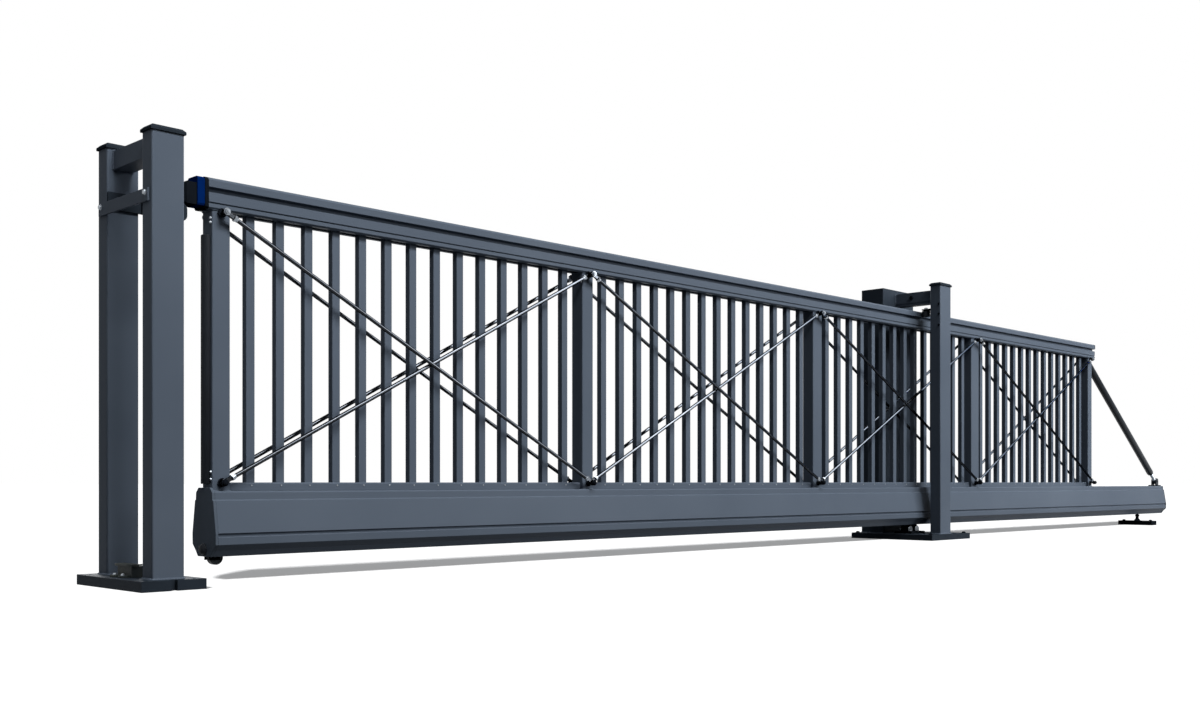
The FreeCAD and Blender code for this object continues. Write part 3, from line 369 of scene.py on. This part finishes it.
def repeated(points, spots, axis, wrap_v=False):
    """One turned surface at many spots: every spot is added to every point in a single sum."""
    corners, quads = skin(aimed(points, axis), wrap_u=True, wrap_v=wrap_v)
    spots = np.atleast_2d(np.array(spots, float))
    shift = np.arange(len(spots))[:, None, None] * len(corners)
    return (spots[:, None] + corners[None]).reshape(-1, 3), (quads[None] + shift).reshape(-1, 4)


def both_sides(points, front_spots):
    """One turned surface on the front of the gate, and the same mirrored to the back."""
    front_spots = np.array(front_spots)
    return [repeated(points, front_spots, FRONT), repeated(points, front_spots * TO_BACK, BACK)]


def bolted(spots, axis, washer, head):
    """A washer (radius, height, edge) and a hexagon head (flats, height) at every spot."""
    return [repeated(disc(*washer), spots, axis), repeated(hex_head(*head), spots, axis)]


print("two such heads have", len(repeated(hex_head(24, 9), [LEFT, RIGHT], UP)[1]), "faces before merging")

# %% From surfaces to an object
DOUBLE, SLIVER = 1e-6, 1e-7


def piece(name, surfaces, look, body, smooth=35):
    """One object from several surfaces: doubles merged, normals outwards, riding on a body."""
    first = np.cumsum([0] + [len(points) for points, _ in surfaces])
    points = np.concatenate([points for points, _ in surfaces])
    faces = np.concatenate([quads + start for (_, quads), start in zip(surfaces, first)])
    mesh = bpy.data.meshes.new(name)
    mesh.from_pydata(points.tolist(), [], faces.tolist())
    form = bmesh.new()
    form.from_mesh(mesh)
    bmesh.ops.remove_doubles(form, verts=form.verts, dist=DOUBLE)
    bmesh.ops.dissolve_degenerate(form, edges=form.edges, dist=SLIVER)
    bmesh.ops.recalc_face_normals(form, faces=form.faces)
    form.to_mesh(mesh)
    form.free()
    mesh.shade_smooth()
    mesh.set_sharp_from_angle(angle=math.radians(smooth))
    mesh.materials.append(look)
    made = placed(name, mesh)
    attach(made, body)
    print(name, len(mesh.polygons), "faces")
    return made


print("points closer than", DOUBLE, "m become one")

# %% [markdown]
# ## Screws and bolts
# Fasteners tell the eye how big a gate is. Black anchor bolts sit in the plates of the guide portal and
# the rear carriage, small bright ones are sunk in the receiving plate, bright bolts hold the strap,
# black ones the crossbar and the roller arms, and a pair of bright cam washers shows on each face of the
# front carriage. On the leaf there are small bolts on the stiles and a button screw at the foot of every
# picket. Each kind could be a linked copy of one modelled bolt, but a profile added to all its spots in
# one sum is shorter, and each kind stays one mesh.

# %% Bolts in the base plates
PLATE_TOP = box("guide_base_plate")[1][2]
RECEIVER_SINK = 0.008
GUIDE_ANCHORS = [(x, y, PLATE_TOP) for x in (-0.235, 0.235) for y in (-0.245, 0.347)]
REAR_ANCHORS = [(4.091, y, PLATE_TOP) for y in (-0.125, 0.125)]
RECEIVER_ANCHORS = [(x, y, PLATE_TOP - RECEIVER_SINK) for x in (-5.955, -5.765) for y in (-0.245, 0.245)]
anchors = GUIDE_ANCHORS + REAR_ANCHORS
stud_ends = [repeated(disc(8, 11, 1.5), anchors, UP)]
piece("anchor_bolts", bolted(anchors, UP, (15, 2.5, 0.8), (24, 9)) + stud_ends,
      BLACK, "ground_frame")
piece("receiver_screws", bolted(RECEIVER_ANCHORS, UP, (8.9, 1, 0.3), (13, 6)),
      STEEL, "ground_frame")

# %% Bolts on the two portals
STRAP_INSET, STRAP_DROP = 0.020, 0.016
strap_low, strap_high = box("receiver_strap")
strap_y = (strap_low[1] + STRAP_INSET, strap_high[1] - STRAP_INSET)
strap_spots = [(strap_low[0], y, strap_high[2] - STRAP_DROP) for y in strap_y]
piece("strap_bolts", bolted(strap_spots, LEFT, (11, 2, 0.6), (17, 8)),
      STEEL, "ground_frame")

BAR_Y, BAR_WASHER, BAR_HEAD = 0.020, (15, 3, 0.8), (24, 13)
bar_low, bar_high = box("guide_crossbar")
bar_z = (bar_low[2] + bar_high[2]) / 2
bar_bolts = (bolted([(bar_low[0], BAR_Y, bar_z)], LEFT, BAR_WASHER, BAR_HEAD)
             + bolted([(bar_high[0], BAR_Y, bar_z)], RIGHT, BAR_WASHER, BAR_HEAD))
piece("crossbar_bolts", bar_bolts, BLACK, "ground_frame")

ARM_INSET, ARM_Z = 0.011, (1.673, 1.602, 1.524)
post_low = box("guide_front_post")[0]
arm_spots = [(post_low[0], post_low[1] + ARM_INSET, z) for z in ARM_Z]
piece("arm_bolts", bolted(arm_spots, LEFT, (9, 1.5, 0.4), (13, 7)), BLACK, "ground_frame")

# %% Cam washers on the front carriage
CAM_HALF, CAM_FACE, CAM_RISE = 0.046, 0.032, 0.029
cam_x = middle("front_carriage_wheels")[0]
cam_spots = [(x, -CAM_FACE, PLATE_TOP + CAM_RISE) for x in (cam_x - CAM_HALF, cam_x + CAM_HALF)]
cam_face = turned([(0, -1), (26.5, -1), (26.5, 1.5), (25.5, 2.5), (11, 2.5), (10, 1.5), (0, 1.5)], 32)
piece("cam_washers", both_sides(cam_face, cam_spots), STEEL, "ground_frame")

# %% Bolts on the stiles
STILES = 5
STILE_BOLT_Y, STILE_BOLT_Z, EDGE_BOLT_Z = -0.031, 1.462, (1.477, 1.459, 0.449, 0.419)
stile_left = [box("stile_%d" % (number + 1))[0][0] for number in range(STILES)]
stile_spots = [(stile_left[0], STILE_BOLT_Y, z) for z in EDGE_BOLT_Z]
stile_spots += [(x, STILE_BOLT_Y, STILE_BOLT_Z) for x in stile_left[1:]]
piece("stile_bolts", [repeated(hex_head(10, 6), stile_spots, LEFT)], STEEL, "leaf")

# %% Screws at the feet of the pickets
BAYS, PICKETS = STILES - 1, 14
FIRST_STILE, BAY_LENGTH = -5.537, 2.112
FIRST_PICKET, PICKET_PITCH, FOOT_DROP = 0.146, 0.140, 0.013
channel_low, channel_high = box("lower_channels")
bay_x = FIRST_STILE + np.arange(BAYS)[:, None] * BAY_LENGTH
picket_x = (bay_x + FIRST_PICKET + np.arange(PICKETS)[None] * PICKET_PITCH).ravel()
foot_spots = [(x, channel_low[1], channel_high[2] - FOOT_DROP) for x in picket_x]
button = turned([(0, -0.5), (4, -0.5), (4, 0.6), (2.9, 2.1), (0, 2.6)], 10)
piece("picket_screws", both_sides(button, foot_spots), STEEL, "leaf")

# %% [markdown]
# ## Tie rods
# Each rod ends in a threaded eye with a lock nut, which is how the leaf is pulled square. The solids
# have the rods, the eyes and the pins. The lock nuts and their collars could be placed by eye, but a nut
# that sits askew would show at once, so they are turned shapes set on the line of each rod. A nut with a
# washer closes every pin: bright ones above, black ones below. The first lower pin and the last upper
# pin carry only a rising rod on each face, which lies nearer to the leaf, so they are shorter.

# %% Lock nuts on the rods
PIN_TOP, PIN_LOW = 1.500, 0.405
RISING_DEPTH, FALLING_DEPTH = 0.057, 0.076
NUT_AT, COLLAR_AT = 0.042, 0.052
stile_x = FIRST_STILE + np.arange(STILES) * BAY_LENGTH
lock_nut = turned([(0, 0), (30, 0), (30, 9), (11, 10), (0, 10)], flats=24)
collar = turned([(0, 0), (10.6, 0), (10.6, 7), (9.8, 8), (0, 8)], 16)
nuts = []
for start_z, end_z, depth in ((PIN_LOW, PIN_TOP, RISING_DEPTH), (PIN_TOP, PIN_LOW, FALLING_DEPTH)):
    way = np.array([BAY_LENGTH, 0, end_z - start_z])
    way /= np.linalg.norm(way)
    for y in (-depth, depth):
        starts = np.array([(x, y, start_z) for x in stile_x[:-1]])
        ends = np.array([(x, y, end_z) for x in stile_x[1:]])
        for shape, along in ((lock_nut, NUT_AT), (collar, COLLAR_AT)):
            nuts.append(repeated(shape, starts + way * along, way))
            nuts.append(repeated(shape, ends - way * along, -way))
piece("rod_lock_nuts", nuts, STEEL, "leaf")

# %% Nuts on the pins
PIN_END, SHORT_PIN_END = 0.089, 0.070
pin_nut = turned([(0, -1), (30, -1), (30, 7), (9.6, 8.5), (6.2, 8.5), (5.6, 11), (0, 11.6)], flats=20)
pin_washer = disc(15, 2, 0.5)
upper_pins = np.array([(x, -PIN_END, PIN_TOP) for x in stile_x])
lower_pins = np.array([(x, -PIN_END, PIN_LOW) for x in stile_x])
upper_pins[-1, 1] = -SHORT_PIN_END
lower_pins[0, 1] = -SHORT_PIN_END
piece("pin_nuts_upper", both_sides(pin_nut, upper_pins) + both_sides(pin_washer, upper_pins),
      STEEL, "leaf")
piece("pin_nuts_lower", both_sides(pin_nut, lower_pins) + both_sides(pin_washer, lower_pins),
      BLACK, "leaf")

# %% [markdown]
# ## Wheels and rollers
# Rollers are turned from cast polyamide: a rounded tread, a recess on each side and a hub that carries
# the bearing. A disc with a hole cut in it would do from afar, but a closed half section that goes once
# round the axle gives the recess and the bore as well, and the ring has no poles at all.

# %% Roller section and end wheel
RIM_SHARE, HUB_SHARE, TREAD_ROUND, RIM_SLOPE, HUB_SLOPE = 0.8, 0.25, 2.5, 1.5, 1.0
GROOVE_DEEP, GROOVE_TOP, GROOVE_FLOOR = 0.8, 0.15, 0.1


def roller_profile(radius, width, bore, recess):
    """Closed half section of a roller: hub, recess, rim and a tread with one shallow groove."""
    half = width / 2
    groove, rim, hub = radius - GROOVE_DEEP, radius * RIM_SHARE, bore + (radius - bore) * HUB_SHARE
    right = [(radius, half * GROOVE_TOP), (radius, half - TREAD_ROUND), (radius - TREAD_ROUND, half),
             (rim, half), (rim - RIM_SLOPE, half - recess), (hub + HUB_SLOPE, half - recess), (hub, half),
             (bore, half)]
    left = [(r, -h) for r, h in reversed(right)]
    return right + left + [(groove, -half * GROOVE_FLOOR), (groove, half * GROOVE_FLOOR)]


end_roller = turned(roller_profile(radius=30, width=30, bore=7.3, recess=3), steps=48)
made = piece("end_roller", [repeated(end_roller, [middle("end_wheel")], BACK, wrap_v=True)], NYLON,
             "end_wheel_body")
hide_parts("end_wheel")

# %% Guide rollers
GUIDE_NUT_RISE = 0.0315
guide_roller = turned(roller_profile(radius=30, width=40, bore=8.2, recess=4), steps=40)
for tag in ("front", "rear"):
    node = "guide_roller_" + tag
    made = piece(node + "_turned", [repeated(guide_roller, [middle(node)], UP, wrap_v=True)], NYLON,
                 "ground_frame")
    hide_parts(node)
    spot = middle(node) + (0, 0, GUIDE_NUT_RISE)
    piece("guide_nut_" + tag, bolted([spot], UP, (13, 2, 0.5), (22, 12)),
          STEEL, "ground_frame")

# %% Carriage rollers
WHEEL_Y = 0.033
carriage_roller = turned(roller_profile(radius=50, width=18, bore=10.2, recess=3), steps=40)
for tag, wheel_base in (("front", 0.220), ("rear", 0.110)):
    node = tag + "_carriage_wheels"
    x, _, z = middle(node)
    spots = [(x + a, b, z) for a in (-wheel_base / 2, wheel_base / 2) for b in (-WHEEL_Y, WHEEL_Y)]
    made = piece(node + "_turned", [repeated(carriage_roller, spots, BACK, wrap_v=True)], NYLON,
                 "ground_frame")
    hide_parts(node)

# %% [markdown]
# ## Tail strut screw
# The strut is set with a screw at its lower end, so its thread shows as a bright spiral. A thread could
# be a bump in the finish, but its outline would stay smooth. Here it is a cylinder whose radius falls
# and rises once for every turn and every pitch of height.

# %% Threaded screw and its lock nut
STRUT_TOP, SCREW_REACH, NUT_GAP = np.array([2.951, 0.0, 1.472]), 0.150, 0.001
strut_way = middle("strut_eye") - STRUT_TOP
strut_span = np.linalg.norm(strut_way)
strut_way /= strut_span


def thread(radius_mm, depth_mm, pitch_mm, length_mm, steps=24, rows=8):
    """Screw surface: the radius drops by a triangle wave of height over pitch less angle over a turn."""
    height = np.linspace(0, length_mm, int(length_mm / pitch_mm * rows))
    phase = (height[None] / pitch_mm - circle(steps)[:, None] / (2 * np.pi)) % 1
    ring = (radius_mm - depth_mm * np.abs(2 * phase - 1)) * MM
    ring[:, [0, -1]] = 0
    return around(ring, height * MM)


screw_start = STRUT_TOP + strut_way * (strut_span - SCREW_REACH)
strut_screw = thread(radius_mm=15, depth_mm=2.2, pitch_mm=5, length_mm=126)
made = piece("strut_thread", [repeated(strut_screw, [screw_start], strut_way)], STEEL, "leaf",
             smooth=60)
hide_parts("strut_screw")
strut_nut = turned([(0, 0), (60, 0), (60, 15), (22, 18), (0, 18)], flats=46)
piece("strut_lock_nut", [repeated(strut_nut, [screw_start + strut_way * NUT_GAP], strut_way)], BLACK, "leaf")

# %% [markdown]
# ## Safety edge
# The first stile carries a hollow rubber strip that feels an obstacle. Its section is a half round on a
# flat foot with fine ribs, extruded straight up. A plain box would lose the soft light on the round, so
# the section is swept up the stile, and both ends are drawn in to a plug.

# %% Ribbed rubber strip
RIB_HIGH, RIBS, STRIP_FOOT, STRIP_INSET = 0.0006, 18, 0.006, 0.001
END_ROUND, END_DRAW, ROUND_POINTS = 0.003, 0.9, 65
edge_low, edge_high = box("safety_edge")
edge_deep, _, edge_tall = edge_high - edge_low
edge_half = (edge_high[1] - edge_low[1]) / 2 - STRIP_INSET
turn = np.linspace(0, np.pi, ROUND_POINTS)
rib = RIB_HIGH * np.cos(RIBS * turn)
foot_x = edge_high[0]
round_x = foot_x - STRIP_FOOT - (edge_deep - STRIP_FOOT - STRIP_INSET + rib) * np.sin(turn)
section_x = np.concatenate([[foot_x], round_x, [foot_x]])
section_y = np.concatenate([[edge_half], (edge_half + rib) * np.cos(turn), [-edge_half]])
levels = edge_low[2] + np.array([0, 0, END_ROUND, edge_tall - END_ROUND, edge_tall, edge_tall])
draw_in = np.array([0, END_DRAW, 1, 1, END_DRAW, 0])[:, None]
centre_x = foot_x - edge_deep / 2
strip_x = centre_x + (section_x - centre_x) * draw_in
strip = np.stack([strip_x, section_y * draw_in, np.broadcast_to(levels[:, None], strip_x.shape)], -1)
made = piece("safety_strip", [skin(strip, wrap_v=True)], RUBBER, "leaf", smooth=50)
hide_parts("safety_edge")

# %% [markdown]
# ## Weld beads
# Posts stand on their plates, crossbars on their posts and stiles on their rails by a run of weld.
# Without it two solids that meet look like toy blocks. It could be a bevelled curve, but that would be
# as even as a cord. Here a bead is a quarter round carried round the foot, and its size swells in small
# ripples where the pool froze.

# %% Beads
BEAD_ROOT, BEND_POINTS, CORNER_POINTS = 0.001, 5, 9
FINE_RIPPLE, SLOW_RIPPLE = (0.14, 0.010), (0.08, 0.037)


def foot_path(centre, a_axis, b_axis, half_a, half_b, corner, step=0.0025):
    """Rounded rectangle as even steps: points, the direction outwards at each, and the way gone."""
    quarter = np.linspace(0, np.pi / 2, CORNER_POINTS)
    turns = quarter[None] + np.arange(4)[:, None] * np.pi / 2
    sign_a, sign_b = np.array([1, -1, -1, 1]), np.array([1, 1, -1, -1])
    a = (sign_a * (half_a - corner))[:, None] + corner * np.cos(turns)
    b = (sign_b * (half_b - corner))[:, None] + corner * np.sin(turns)
    a, b = np.append(a.ravel(), a[0, 0]), np.append(b.ravel(), b[0, 0])
    along = np.append(0, np.cumsum(np.hypot(np.diff(a), np.diff(b))))
    gone = np.linspace(0, along[-1], int(along[-1] / step), endpoint=False)
    angle = np.interp(gone, along, np.append(turns.ravel(), 2 * np.pi))
    plane = np.array([a_axis, b_axis], float)
    points = np.stack([np.interp(gone, along, a), np.interp(gone, along, b)], -1) @ plane
    return np.array(centre) + points, np.stack([np.cos(angle), np.sin(angle)], -1) @ plane, gone


def ripple(gone, share, length):
    """Sine wave of one share of the bead's size, repeated along the way gone."""
    return share * np.sin(2 * np.pi * gone / length)


def bead(centre, a_axis, b_axis, half_a, half_b, corner, up, size=0.005):
    """Quarter round on a foot path: radius times one plus two ripples, 10 mm and 37 mm long."""
    points, out, gone = foot_path(centre, a_axis, b_axis, half_a, half_b, corner)
    swell = size * (1 + ripple(gone, *FINE_RIPPLE) + ripple(gone, *SLOW_RIPPLE))
    bend = np.linspace(0, np.pi / 2, BEND_POINTS)[None, :, None]
    reach = out[:, None] * np.cos(bend) + np.array(up, float) * np.sin(bend)
    arc = points[:, None] + reach * swell[:, None, None]
    root = (points - (out + np.array(up)) * BEAD_ROOT)[:, None]
    return skin(np.concatenate([arc, root], 1), wrap_u=True, wrap_v=True)


beads = []
for name in ("receiver_front_post", "receiver_rear_post", "guide_front_post", "drive_column"):
    low, high = box(name)
    half, mid = (high - low) / 2, (low + high) / 2
    beads.append(bead((mid[0], mid[1], low[2]), RIGHT, BACK, half[0], half[1], corner=0.006, up=UP,
                      size=0.006))
for name in ("receiver_crossbar", "guide_crossbar"):
    low, high = box(name)
    half, mid = (high - low) / 2, (low + high) / 2
    for y, inwards in ((low[1], BACK), (high[1], FRONT)):
        beads.append(bead((mid[0], y, mid[2]), RIGHT, UP, half[0], half[2], corner=0.003, up=inwards))
piece("frame_welds", beads, COAT, "ground_frame", smooth=80)
beads = []
for number in range(STILES):
    low, high = box("stile_%d" % (number + 1))
    half, mid = (high - low) / 2, (low + high) / 2
    for z, inwards in ((low[2], UP), (high[2], DOWN)):
        beads.append(bead((mid[0], 0, z), RIGHT, BACK, half[0], half[1], corner=0.005, up=inwards,
                          size=0.004))
piece("leaf_welds", beads, COAT, "leaf", smooth=80)

# %% [markdown]
# ## Column door
# The drive column hides a motor, so its back has a door with two hinges and a round lock. A scaled cube
# would have sharp corners, so the door is a shallow pressed panel: a rounded rectangle whose rings step
# out, break the edge and close in.


# %% Door, hinges and lock
def panel(centre, a_axis, b_axis, half_a, half_b, corner, up, thick, edge, sunk=0.001):
    """Raised plate: outline rings at the foot, below the edge and inside it, with a middle at each end."""
    foot, out, _ = foot_path(centre, a_axis, b_axis, half_a, half_b, corner, step=0.02)
    rise = np.array(up, float)
    rings = [np.broadcast_to(np.array(centre) - rise * sunk, foot.shape), foot - rise * sunk,
             foot + rise * (thick - edge), foot + rise * thick - out * edge,
             np.broadcast_to(np.array(centre) + rise * thick, foot.shape)]
    return skin(np.stack(rings, 0), wrap_v=True)


DOOR_Z, DOOR_THICK = 0.78, 0.003
HINGE_X, HINGE_OUT, HINGE_Z = 0.190, 0.005, (0.42, 1.14)
LOCK_X, LOCK_Z = -0.150, 0.80
door_y = box("drive_column")[1][1]
door = panel((0, door_y, DOOR_Z), RIGHT, UP, half_a=0.180, half_b=0.560, corner=0.012, up=BACK,
             thick=DOOR_THICK, edge=0.0015)
# The door and its hinges take the column's coat, darkened as painted shade
piece("column_door", [door], SHADED_COLUMN_COAT, "ground_frame")
hinge = turned([(0, -35), (6, -35), (7, -34), (7, -12), (6.4, -11.5), (6.4, -11), (7, -10.5), (7, 34),
                (6, 35), (0, 35)], 20)
hinge_spots = [(HINGE_X, door_y + HINGE_OUT, z) for z in HINGE_Z]
piece("door_hinges", [repeated(hinge, hinge_spots, UP)], SHADED_COLUMN_COAT, "ground_frame")
lock = turned([(0, -1), (16, -1), (16, 4), (14, 6), (11, 6), (10, 4.5), (0, 4.5)], 32)
piece("door_lock", [repeated(lock, [(LOCK_X, door_y + DOOR_THICK, LOCK_Z)], BACK)], STEEL, "ground_frame")

# %% [markdown]
# ## Landing shoe
# When the gate shuts, its front wheel rolls into a cast shoe. The casting has a lip over its stop end
# and two ears that are screwed to the base plate, and a round buffer on the rail meets the stop softly.
# Lip and ears could be plain boxes, but the door's raised plate gives them a casting's broken edges.

# %% Lip, ears and buffer
EAR_BACK, EAR_Y, EAR_THICK, EAR_SCREW = 0.018, 0.034, 0.009, -0.004
LIP_IN, LIP_OVER, BUFFER_RISE = 0.010, 0.007, 0.030
shoe_low, shoe_high = box("landing_shoe")
shoe_half = (shoe_high[1] - shoe_low[1]) / 2
lip = panel((shoe_low[0] + LIP_IN, 0, shoe_high[2]), RIGHT, BACK, half_a=0.021, half_b=shoe_half + LIP_OVER,
            corner=0.004, up=UP, thick=0.008, edge=0.002)
ear_spots = [(shoe_low[0] - EAR_BACK, y, PLATE_TOP) for y in (-EAR_Y, EAR_Y)]
ears = [panel(spot, RIGHT, BACK, half_a=0.022, half_b=0.019, corner=0.010, up=UP, thick=EAR_THICK, edge=0.002)
        for spot in ear_spots]
piece("shoe_lip_and_ears", [lip] + ears, CAST, "ground_frame")
screw_spots = np.array(ear_spots) + (EAR_SCREW, 0, EAR_THICK)
piece("shoe_screws", bolted(screw_spots, UP, (9.5, 1.5, 0.4), (13, 7)), STEEL, "ground_frame")
cap_low = box("front_rail_cap")[0]
buffer_shape = turned([(0, -1), (24, -1), (24, 5), (21, 8), (20, 12), (17, 15), (9, 16.5), (0, 17)], 32)
piece("rail_buffer", [repeated(buffer_shape, [(cap_low[0], 0, cap_low[2] + BUFFER_RISE)], LEFT)], RUBBER,
      "leaf", smooth=50)

# %% [markdown]
# ## Light
# In the portrait the coat is lit from the front and above, and the faces that look left stay dark. One
# lamp can't do that along ten metres. A soft key sun from the front and above gives an even base, a long
# strip over the gate makes the posts lighter towards their tops, a panel on the right lifts the far
# end, and a weak one on the left reaches only the faces that stand free, so the sides of the pickets
# stay almost black. A sun from behind lights the back for other views. Two suns shine only on the tie
# rods and their eyes: one draws the bright line along the rising rods, a weaker and lower one the faint
# line along the falling rods.


# %% Lamps
def sun(name, toward, strength, softness):
    """Sun lamp that shines from a direction; softness is its apparent size in degrees."""
    data = bpy.data.lights.new(name, "SUN")
    data.energy = strength
    data.angle = math.radians(softness)
    lamp = placed(name, data)
    lamp.rotation_euler = Vector(toward).to_track_quat("Z", "Y").to_euler()
    return lamp


def softbox(name, spot, away, long, wide, power, spread=180):
    """Lit panel at a spot, long along X; away is the way its back looks, spread how wide it throws."""
    data = bpy.data.lights.new(name, "AREA")
    data.shape = "RECTANGLE"
    data.size = long
    data.size_y = wide
    data.energy = power
    data.spread = math.radians(spread)
    lamp = placed(name, data)
    lamp.location = spot
    lamp.rotation_euler = Vector(away).to_track_quat("Z", "Y").to_euler()
    lamp.visible_camera = False
    return lamp


gate_lamps = [
    sun("key_sun", (0.06, -0.72, 0.69), strength=2.0, softness=22),
    sun("back_sun", (0.25, 0.8, 0.55), strength=3.0, softness=20),
    softbox("strip_light", (-0.85, -2.0, 3.7), (0, -2.0, 2.9), long=14.3, wide=0.5, power=92, spread=80),
    softbox("far_panel", (4.5, -8.0, 4.2), (0.2, -1.0, 0.42), long=3, wide=3, power=560),
    softbox("left_panel", (-13.0, 0.0, 2.2), (-1.0, 0.0, 0.12), long=2, wide=2, power=30),
]
rod_lamps = [
    sun("rod_light", (0.42, -0.53, 0.735), strength=13, softness=32),
    sun("rod_fill", (0.72, -0.62, 0.3), strength=6, softness=36),
]
floor_sun = sun("floor_sun", (-1.436, -1.4, 1.0), strength=7.0, softness=8)
print("lamps", [lamp.name for lamp in gate_lamps + rod_lamps + [floor_sun]])

# %% [markdown]
# ## Ground and sky
# The portrait is a cut-out on white with a soft grey strip under the rail. The ground and the sky could
# simply be lit until they are white, but that would flood the coat with light. They are white only for
# the camera and for mirrors, and dull for everything else. The strip is a real shadow: a sun of its own
# lights only the floor, and only the things near the ground stop it, so the posts and pickets leave no
# stripes across the picture.

# %% White sky
WHITE = (1, 1, 1, 1)
AMBIENT, AMBIENT_TINT = 0.045, (0.85, 0.94, 1.04, 1)


def seen_rays(tree):
    """Factor that is one for the camera and for mirrors, and nought for light on matt surfaces."""
    ray = add(tree, "ShaderNodeLightPath")
    first = add(tree, "ShaderNodeMath", {0: (ray, "Is Camera Ray"), 1: (ray, "Is Glossy Ray")},
                operation="MAXIMUM")
    return add(tree, "ShaderNodeMath", {0: (first, 0), 1: (ray, "Is Transmission Ray")}, operation="MAXIMUM")


world = bpy.data.worlds.new("studio")
bpy.context.scene.world = world
world.use_nodes = True
sky = world.node_tree
sky.nodes.clear()
ambient = add(sky, "ShaderNodeBackground", {"Color": AMBIENT_TINT, "Strength": AMBIENT})
bright = add(sky, "ShaderNodeBackground", {"Color": WHITE, "Strength": 1.0})
choice = add(sky, "ShaderNodeMixShader", {0: (seen_rays(sky), 0), 1: (ambient, 0), 2: (bright, 0)})
add(sky, "ShaderNodeOutputWorld", {"Surface": (choice, 0)})
bpy.context.scene.view_settings.view_transform = "Standard"
print("sky", world.name, "with ambient light of", AMBIENT)

# %% Pale floor
FLOOR_GLOW, FLOOR_PAPER, FLOOR_DULL = 0.3, (0.8, 0.8, 0.8, 1), (0.04, 0.04, 0.04, 1)
FLOOR_REACH, FLOOR_Z = 250.0, -0.001
ground = bpy.data.materials.new("pale_studio_ground")
ground.use_nodes = True
soil = ground.node_tree
soil.nodes.clear()
glow = add(soil, "ShaderNodeEmission", {"Color": WHITE, "Strength": FLOOR_GLOW})
paper = add(soil, "ShaderNodeBsdfDiffuse", {"Color": FLOOR_PAPER})
shown = add(soil, "ShaderNodeAddShader", {0: (glow, 0), 1: (paper, 0)})
dull = add(soil, "ShaderNodeBsdfDiffuse", {"Color": FLOOR_DULL})
choice = add(soil, "ShaderNodeMixShader", {0: (seen_rays(soil), 0), 1: (dull, 0), 2: (shown, 0)})
add(soil, "ShaderNodeOutputMaterial", {"Surface": (choice, 0)})
floor_corners = [(x * FLOOR_REACH, y * FLOOR_REACH, FLOOR_Z) for x, y in ((-1, -1), (1, -1), (1, 1), (-1, 1))]
floor_mesh = bpy.data.meshes.new("studio_floor")
floor_mesh.from_pydata(floor_corners, [], [(0, 1, 2, 3)])
floor_mesh.materials.append(ground)
floor = placed("studio_floor", floor_mesh)
floor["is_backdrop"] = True
print("floor", 2 * FLOOR_REACH, "m wide")

# %% Which lamp lights what
LOW_TOP = 0.42


def group(name, members):
    """Collection for light linking, kept out of the scene's own tree."""
    made = bpy.data.collections.new(name)
    for member in members:
        made.objects.link(member)
    return made


low_nodes = [solid for name, solid in nodes.items() if box(name)[1][2] < LOW_TOP]
floor_sun.light_linking.receiver_collection = group("lit_floor", [floor])
floor_sun.light_linking.blocker_collection = group("things_near_the_ground", low_nodes)
spared = group("spared_floor", [floor])
spared.collection_objects[0].light_linking.link_state = "EXCLUDE"
for lamp in gate_lamps:
    lamp.light_linking.receiver_collection = spared
rods = group("tie_rods_only", [nodes[name] for name in NODES_OF[ROD].split()])
for lamp in rod_lamps:
    lamp.light_linking.receiver_collection = rods
print("solids near the ground", len(low_nodes))

# %% [markdown]
# ## Measure
# Small fittings may stand out from the solids, but the gate as a whole keeps its size. That could be
# judged by eye, but a number is surer: the size of the box round the dressed gate is printed, so a
# piece far out of place shows at once.

# %% Measure and finish
low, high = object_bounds()
print("dressed gate measures", [round(b - a, 3) for a, b in zip(low, high)])
